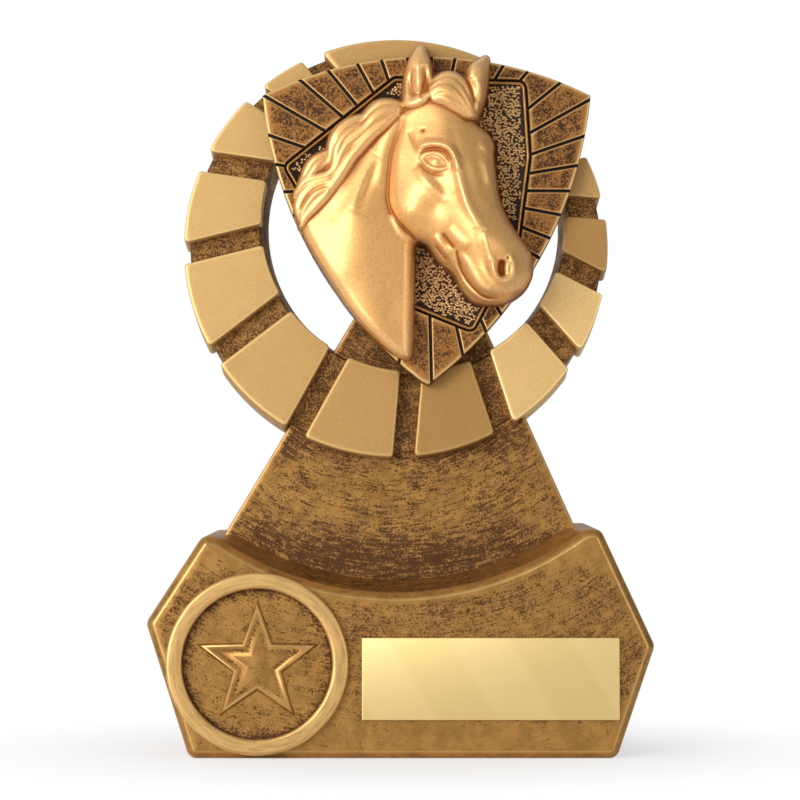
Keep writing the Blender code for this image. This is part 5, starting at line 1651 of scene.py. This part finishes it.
def carved_grid(step):
    """The horse's surface as a grid: places in millimetres from the burst, filled cells and marks."""
    horse, shield, ring = settings().horse, settings().shield, settings().ring
    root = horse.root / MM
    face = (ring.block_front + shield.gap + shield.thick) / MM
    across, up = np.meshgrid(np.arange(HORSE_LEFT, HORSE_RIGHT, step),
                             np.arange(HORSE_BOTTOM, HORSE_TOP, step))
    fine_across, fine_up = np.meshgrid((across[0, 0] + np.arange(across.shape[1] * 2) * step / 2),
                                       (up[0, 0] + np.arange(across.shape[0] * 2) * step / 2))
    height = blurred(horse_height(fine_across, fine_up), CARVING_BLUR)[::2, ::2]
    raised = height > root
    cells = raised[:-1, :-1] | raised[1:, :-1] | raised[:-1, 1:] | raised[1:, 1:]
    while True:
        falling = cells[:-1, :-1] & cells[1:, 1:] & ~cells[1:, :-1] & ~cells[:-1, 1:]
        rising = cells[1:, :-1] & cells[:-1, 1:] & ~cells[:-1, :-1] & ~cells[1:, 1:]
        if not (falling.any() or rising.any()):
            break
        cells[1:, :-1] |= falling
        cells[:-1, :-1] |= rising
    rise_up, rise_across = np.gradient(height, step)
    steep = np.maximum(rise_up ** 2 + rise_across ** 2, 1.0)
    pull = np.where(raised, 0.0, np.clip((root - height) / steep, 0.0, 1.3 * step / np.sqrt(steep)))
    across, up = across + rise_across * pull, up + rise_up * pull
    height = np.maximum(height, root)
    slope = np.hypot(*np.gradient(height, step))
    places = np.stack([across, up, height], 2)
    places = eased(places, np.where(raised, smooth_step(slope, 1.2, 3.0) * 0.6, 0.0), 4)
    shown = np.maximum(height, face)
    wide, narrow = blurred(shown, WIDE_BLUR / step) - shown, blurred(shown, NARROW_BLUR / step) - shown
    # Creases are marked for painted shade and crests for painted highlight on the horse
    hollow = np.clip(wide / 1.5, 0.0, 1.0) * 0.6 + np.clip(narrow / 0.22, 0.0, 1.0) * 0.7
    worn = np.clip(-narrow / 0.16, 0.0, 1.0) * 0.7 + np.clip(-wide / 1.2, 0.0, 1.0) * 0.3
    return places, cells, hollow, worn


class TROPHY_OT_horse(bpy.types.Operator):
    """Carve the horse's head and neck"""
    bl_idname = "trophy.horse"
    bl_label = "Horse"

    def execute(self, context):
        """Build the piece."""
        horse = settings().horse
        step = horse.mesh_step / MM * 1.0
        places, cells, hollow, worn = carved_grid(step)
        used = np.zeros(hollow.shape, bool)
        for rows, lines in ((slice(0, -1), slice(0, -1)), (slice(1, None), slice(0, -1)),
                            (slice(0, -1), slice(1, None)), (slice(1, None), slice(1, None))):
            used[rows, lines] |= cells
        number = np.full(used.shape, -1)
        number[used] = np.arange(used.sum())
        start = burst()
        flat = places[used]
        under = horse.underside / MM
        tops = [panel_point(start.x + x * MM, start.y + seen_up(s, h) * MM, h * MM) for x, s, h in flat]
        feet = [panel_point(start.x + x * MM, start.y + seen_up(s, under) * MM, horse.underside)
                for x, s, _ in flat]
        count = len(tops)
        faces = []
        for row, line in zip(*np.nonzero(cells)):
            keys = ((row, line), (row, line + 1), (row + 1, line + 1), (row + 1, line))
            corners = [int(number[key]) for key in keys]
            faces.append(tuple(corners))
            faces.append(tuple(corner + count for corner in reversed(corners)))
            beside = ((row - 1, line), (row, line + 1), (row + 1, line), (row, line - 1))
            for index, near in enumerate(beside):
                if not cells[near]:
                    first, second = corners[index], corners[(index + 1) % 4]
                    faces.append((first, first + count, second + count, second))
        carving = piece("horse", tops + feet, faces, (
            ("hollow", np.concatenate([hollow[used]] * 2)), ("worn", np.concatenate([worn[used]] * 2))))
        face_outwards(carving)
        hand_over(carving, "horse_shield", 80.0, horse_gold())
        return {"FINISHED"}


class TROPHY_OT_pebbles(bpy.types.Operator):
    """Strew the sunk panel with pebbles, except under the horse"""
    bl_idname = "trophy.pebbles"
    bl_label = "Pebbles"

    def execute(self, context):
        """Build the piece."""
        shield, ring = settings().shield, settings().ring
        floor = ring.block_front + shield.gap + shield.thick - shield.panel_sunk
        panel = rounded(PANEL_CORNERS, shield.panel_corner / MM)
        inner = inset(panel, GROUND_MARGIN)
        across, up = np.meshgrid(np.arange(GROUND_LEFT, GROUND_RIGHT, GROUND_STEP),
                                 np.arange(GROUND_LOW, GROUND_HIGH, GROUND_STEP))
        inside = depth_inside(np.array(inner), across, up)
        height = horse_height(across, up + (floor / MM - SKETCH_HEIGHT) * math.tan(settings().stem.lean))
        open_ground = (inside > -GROUND_STEP / 4) & (height < floor / MM + GROUND_UNDER_HORSE)
        cells = open_ground[:-1, :-1] & open_ground[1:, :-1] & open_ground[:-1, 1:] & open_ground[1:, 1:]
        start = burst()
        points = [panel_point(start.x + x * MM, start.y + s * MM, floor)
                  for x, s in zip(across.ravel(), up.ravel())]
        wide = across.shape[1]
        faces = [(r * wide + c, r * wide + c + 1, (r + 1) * wide + c + 1, (r + 1) * wide + c)
                 for r, c in zip(*np.nonzero(cells))]
        ground = piece("panel_pebbles", points, faces)
        grow(ground, pebble_tree(), {"Radius": shield.pebble, "Gap": shield.pebble_gap, "Seed": shield.seed,
                                     "Material": pebble_gold()})
        hand_over(ground, "horse_shield", 180.0)
        return {"FINISHED"}


class TROPHY_OT_plate(bpy.types.Operator):
    """Make the bare engraving plate"""
    bl_idname = "trophy.plate"
    bl_label = "Engraving plate"

    def execute(self, context):
        """Build the piece."""
        plate, base, medallion = settings().plate, settings().base, settings().medallion
        left = medallion_centre().x + medallion.radius + plate.gap
        right, low, high = base.shoulder - plate.margin, plate.bottom, plate.bottom + plate.height
        outline = rounded([(left, low), (right, low), (right, high), (left, high)], 0.15 * MM, 3)
        front = plate.glue + plate.thick
        profile = ((plate.glue, 0.0), (front - 0.12 * MM, 0.0), (front - 0.03 * MM, 0.04 * MM),
                   (front, 0.14 * MM))
        strip = lofted("engraving_plate_face", [
            [front_point(x, z, out) for x, z in inset(outline, amount)] for out, amount in profile])
        hand_over(strip, "engraving_plate", 30.0, plate_gold())
        return {"FINISHED"}


def area_light(name, place, size, power):
    """A soft square light that looks at the trophy."""
    lamp = bpy.data.lights.new(name, "AREA")
    lamp.size = size
    lamp.energy = power
    item = bpy.data.objects.new(name, lamp)
    item.location = place
    item.rotation_euler = (Vector(LIGHT_TARGET) - Vector(place)).to_track_quat("-Z", "Y").to_euler()
    bpy.context.scene.collection.objects.link(item)


def floor_white():
    """A pale floor that the camera sees fade to white away from the part."""
    material, build, shader, place = start_material("floor_white", 0.8, 0.0)
    shader.inputs["Base Color"].default_value = (0.9, 0.9, 0.9, 1.0)
    distance = build.add("ShaderNodeVectorMath", {0: place}, operation="LENGTH").outputs["Value"]
    seen = build.add("ShaderNodeLightPath").outputs["Is Camera Ray"]
    far = build.sum("MULTIPLY", build.ramp(distance, 0.02, 0.09, 0.55, 1.0), seen)
    white = build.add("ShaderNodeEmission", {"Color": (1.0, 1.0, 1.0, 1.0), "Strength": 1.0}).outputs[0]
    both = build.add("ShaderNodeMixShader", {0: far, 1: shader.outputs[0], 2: white}).outputs[0]
    build.tree.links.new(both, material.node_tree.nodes["Material Output"].inputs[0])
    return material


def studio_world():
    """White to the camera, and a soft room for everything else: bright on the left and above."""
    world = bpy.data.worlds.new("studio")
    world.use_nodes = True
    build = Builder(world.node_tree)
    shader = world.node_tree.nodes["Background"]
    output = world.node_tree.nodes["World Output"]
    direction = build.add("ShaderNodeTexCoord").outputs["Generated"]
    split = build.add("ShaderNodeSeparateXYZ", {0: direction}).outputs
    left = build.ramp(split[0], 0.9, -0.8)
    above = build.ramp(split[2], -0.6, 0.9)
    level = build.sum("MULTIPLY_ADD", left, GLOW_LEFT, build.sum(
        "MULTIPLY_ADD", above, GLOW_ABOVE, GLOW_ALL_ROUND))
    build.tree.links.new(level, shader.inputs["Color"])
    shader.inputs["Strength"].default_value = 1.0
    white = build.add("ShaderNodeBackground", {"Color": (1.0, 1.0, 1.0, 1.0), "Strength": 1.0}).outputs[0]
    seen = build.add("ShaderNodeLightPath").outputs["Is Camera Ray"]
    both = build.add("ShaderNodeMixShader", {0: seen, 1: shader.outputs[0], 2: white}).outputs[0]
    build.tree.links.new(both, output.inputs[0])
    bpy.context.scene.world = world


class TROPHY_OT_stage(bpy.types.Operator):
    """Make the floor, the lights and the camera"""
    bl_idname = "trophy.stage"
    bl_label = "Stage"

    def execute(self, context):
        """Build the stage."""
        stage = settings().stage
        half = stage.floor / 2
        corners = [(-half, -half, 0.0), (half, -half, 0.0), (half, half, 0.0), (-half, half, 0.0)]
        floor = piece("floor", corners, [(0, 1, 2, 3)])
        floor.data.materials.append(floor_white())
        studio_world()
        for light in LIGHTS:
            area_light(*light)
        lens = bpy.data.cameras.new("camera")
        lens.lens = stage.lens
        lens.sensor_width = SENSOR_WIDTH
        lens.clip_start = NEAREST_SEEN
        camera = bpy.data.objects.new("camera", lens)
        camera.location = (stage.offset, -stage.distance, stage.height)
        camera.rotation_euler = (math.radians(90.0), 0.0, 0.0)
        context.scene.collection.objects.link(camera)
        context.scene.camera = camera
        context.scene.view_settings.view_transform = "Standard"
        return {"FINISHED"}


STEPS = (TROPHY_OT_base, TROPHY_OT_stem, TROPHY_OT_ring, TROPHY_OT_medallion, TROPHY_OT_shield,
         TROPHY_OT_pebbles, TROPHY_OT_horse, TROPHY_OT_plate, TROPHY_OT_stage)


class TROPHY_PT_sidebar(bpy.types.Panel):
    """The trophy's pieces and their sizes"""
    bl_label = "Horse Trophy"
    bl_idname = "TROPHY_PT_sidebar"
    bl_space_type = "VIEW_3D"
    bl_region_type = "UI"
    bl_category = "Trophy"

    def draw(self, context):
        """List the operators and the settings."""
        layout = self.layout
        for step in STEPS:
            layout.operator(step.bl_idname)
        trophy = context.scene.trophy
        for group in (trophy.base, trophy.stem, trophy.ring, trophy.medallion, trophy.shield,
                      trophy.horse, trophy.plate, trophy.finishes, trophy.stage):
            box = layout.box()
            box.label(text=group.__doc__ or "")
            for label in group.__annotations__:
                box.prop(group, label)


CLASSES = (BaseSizes, StemSizes, RingSizes, MedallionSizes, ShieldSizes, HorseSizes, PlateSizes, Finishes,
           StageSizes, TrophySettings, *STEPS, TROPHY_PT_sidebar)


def register():
    """Register the classes and the scene's settings."""
    for item in CLASSES:
        bpy.utils.register_class(item)
    bpy.types.Scene.trophy = PointerProperty(type=TrophySettings)


def unregister():
    """Take the settings and the classes away again."""
    del bpy.types.Scene.trophy
    for item in reversed(CLASSES):
        bpy.utils.unregister_class(item)


def main():
    """Make every piece and the stage."""
    register()
    bpy.ops.trophy.base()
    bpy.ops.trophy.stem()
    bpy.ops.trophy.ring()
    bpy.ops.trophy.medallion()
    bpy.ops.trophy.shield()
    bpy.ops.trophy.pebbles()
    bpy.ops.trophy.horse()
    bpy.ops.trophy.plate()
    bpy.ops.trophy.stage()


if __name__ == "__main__":
    main()
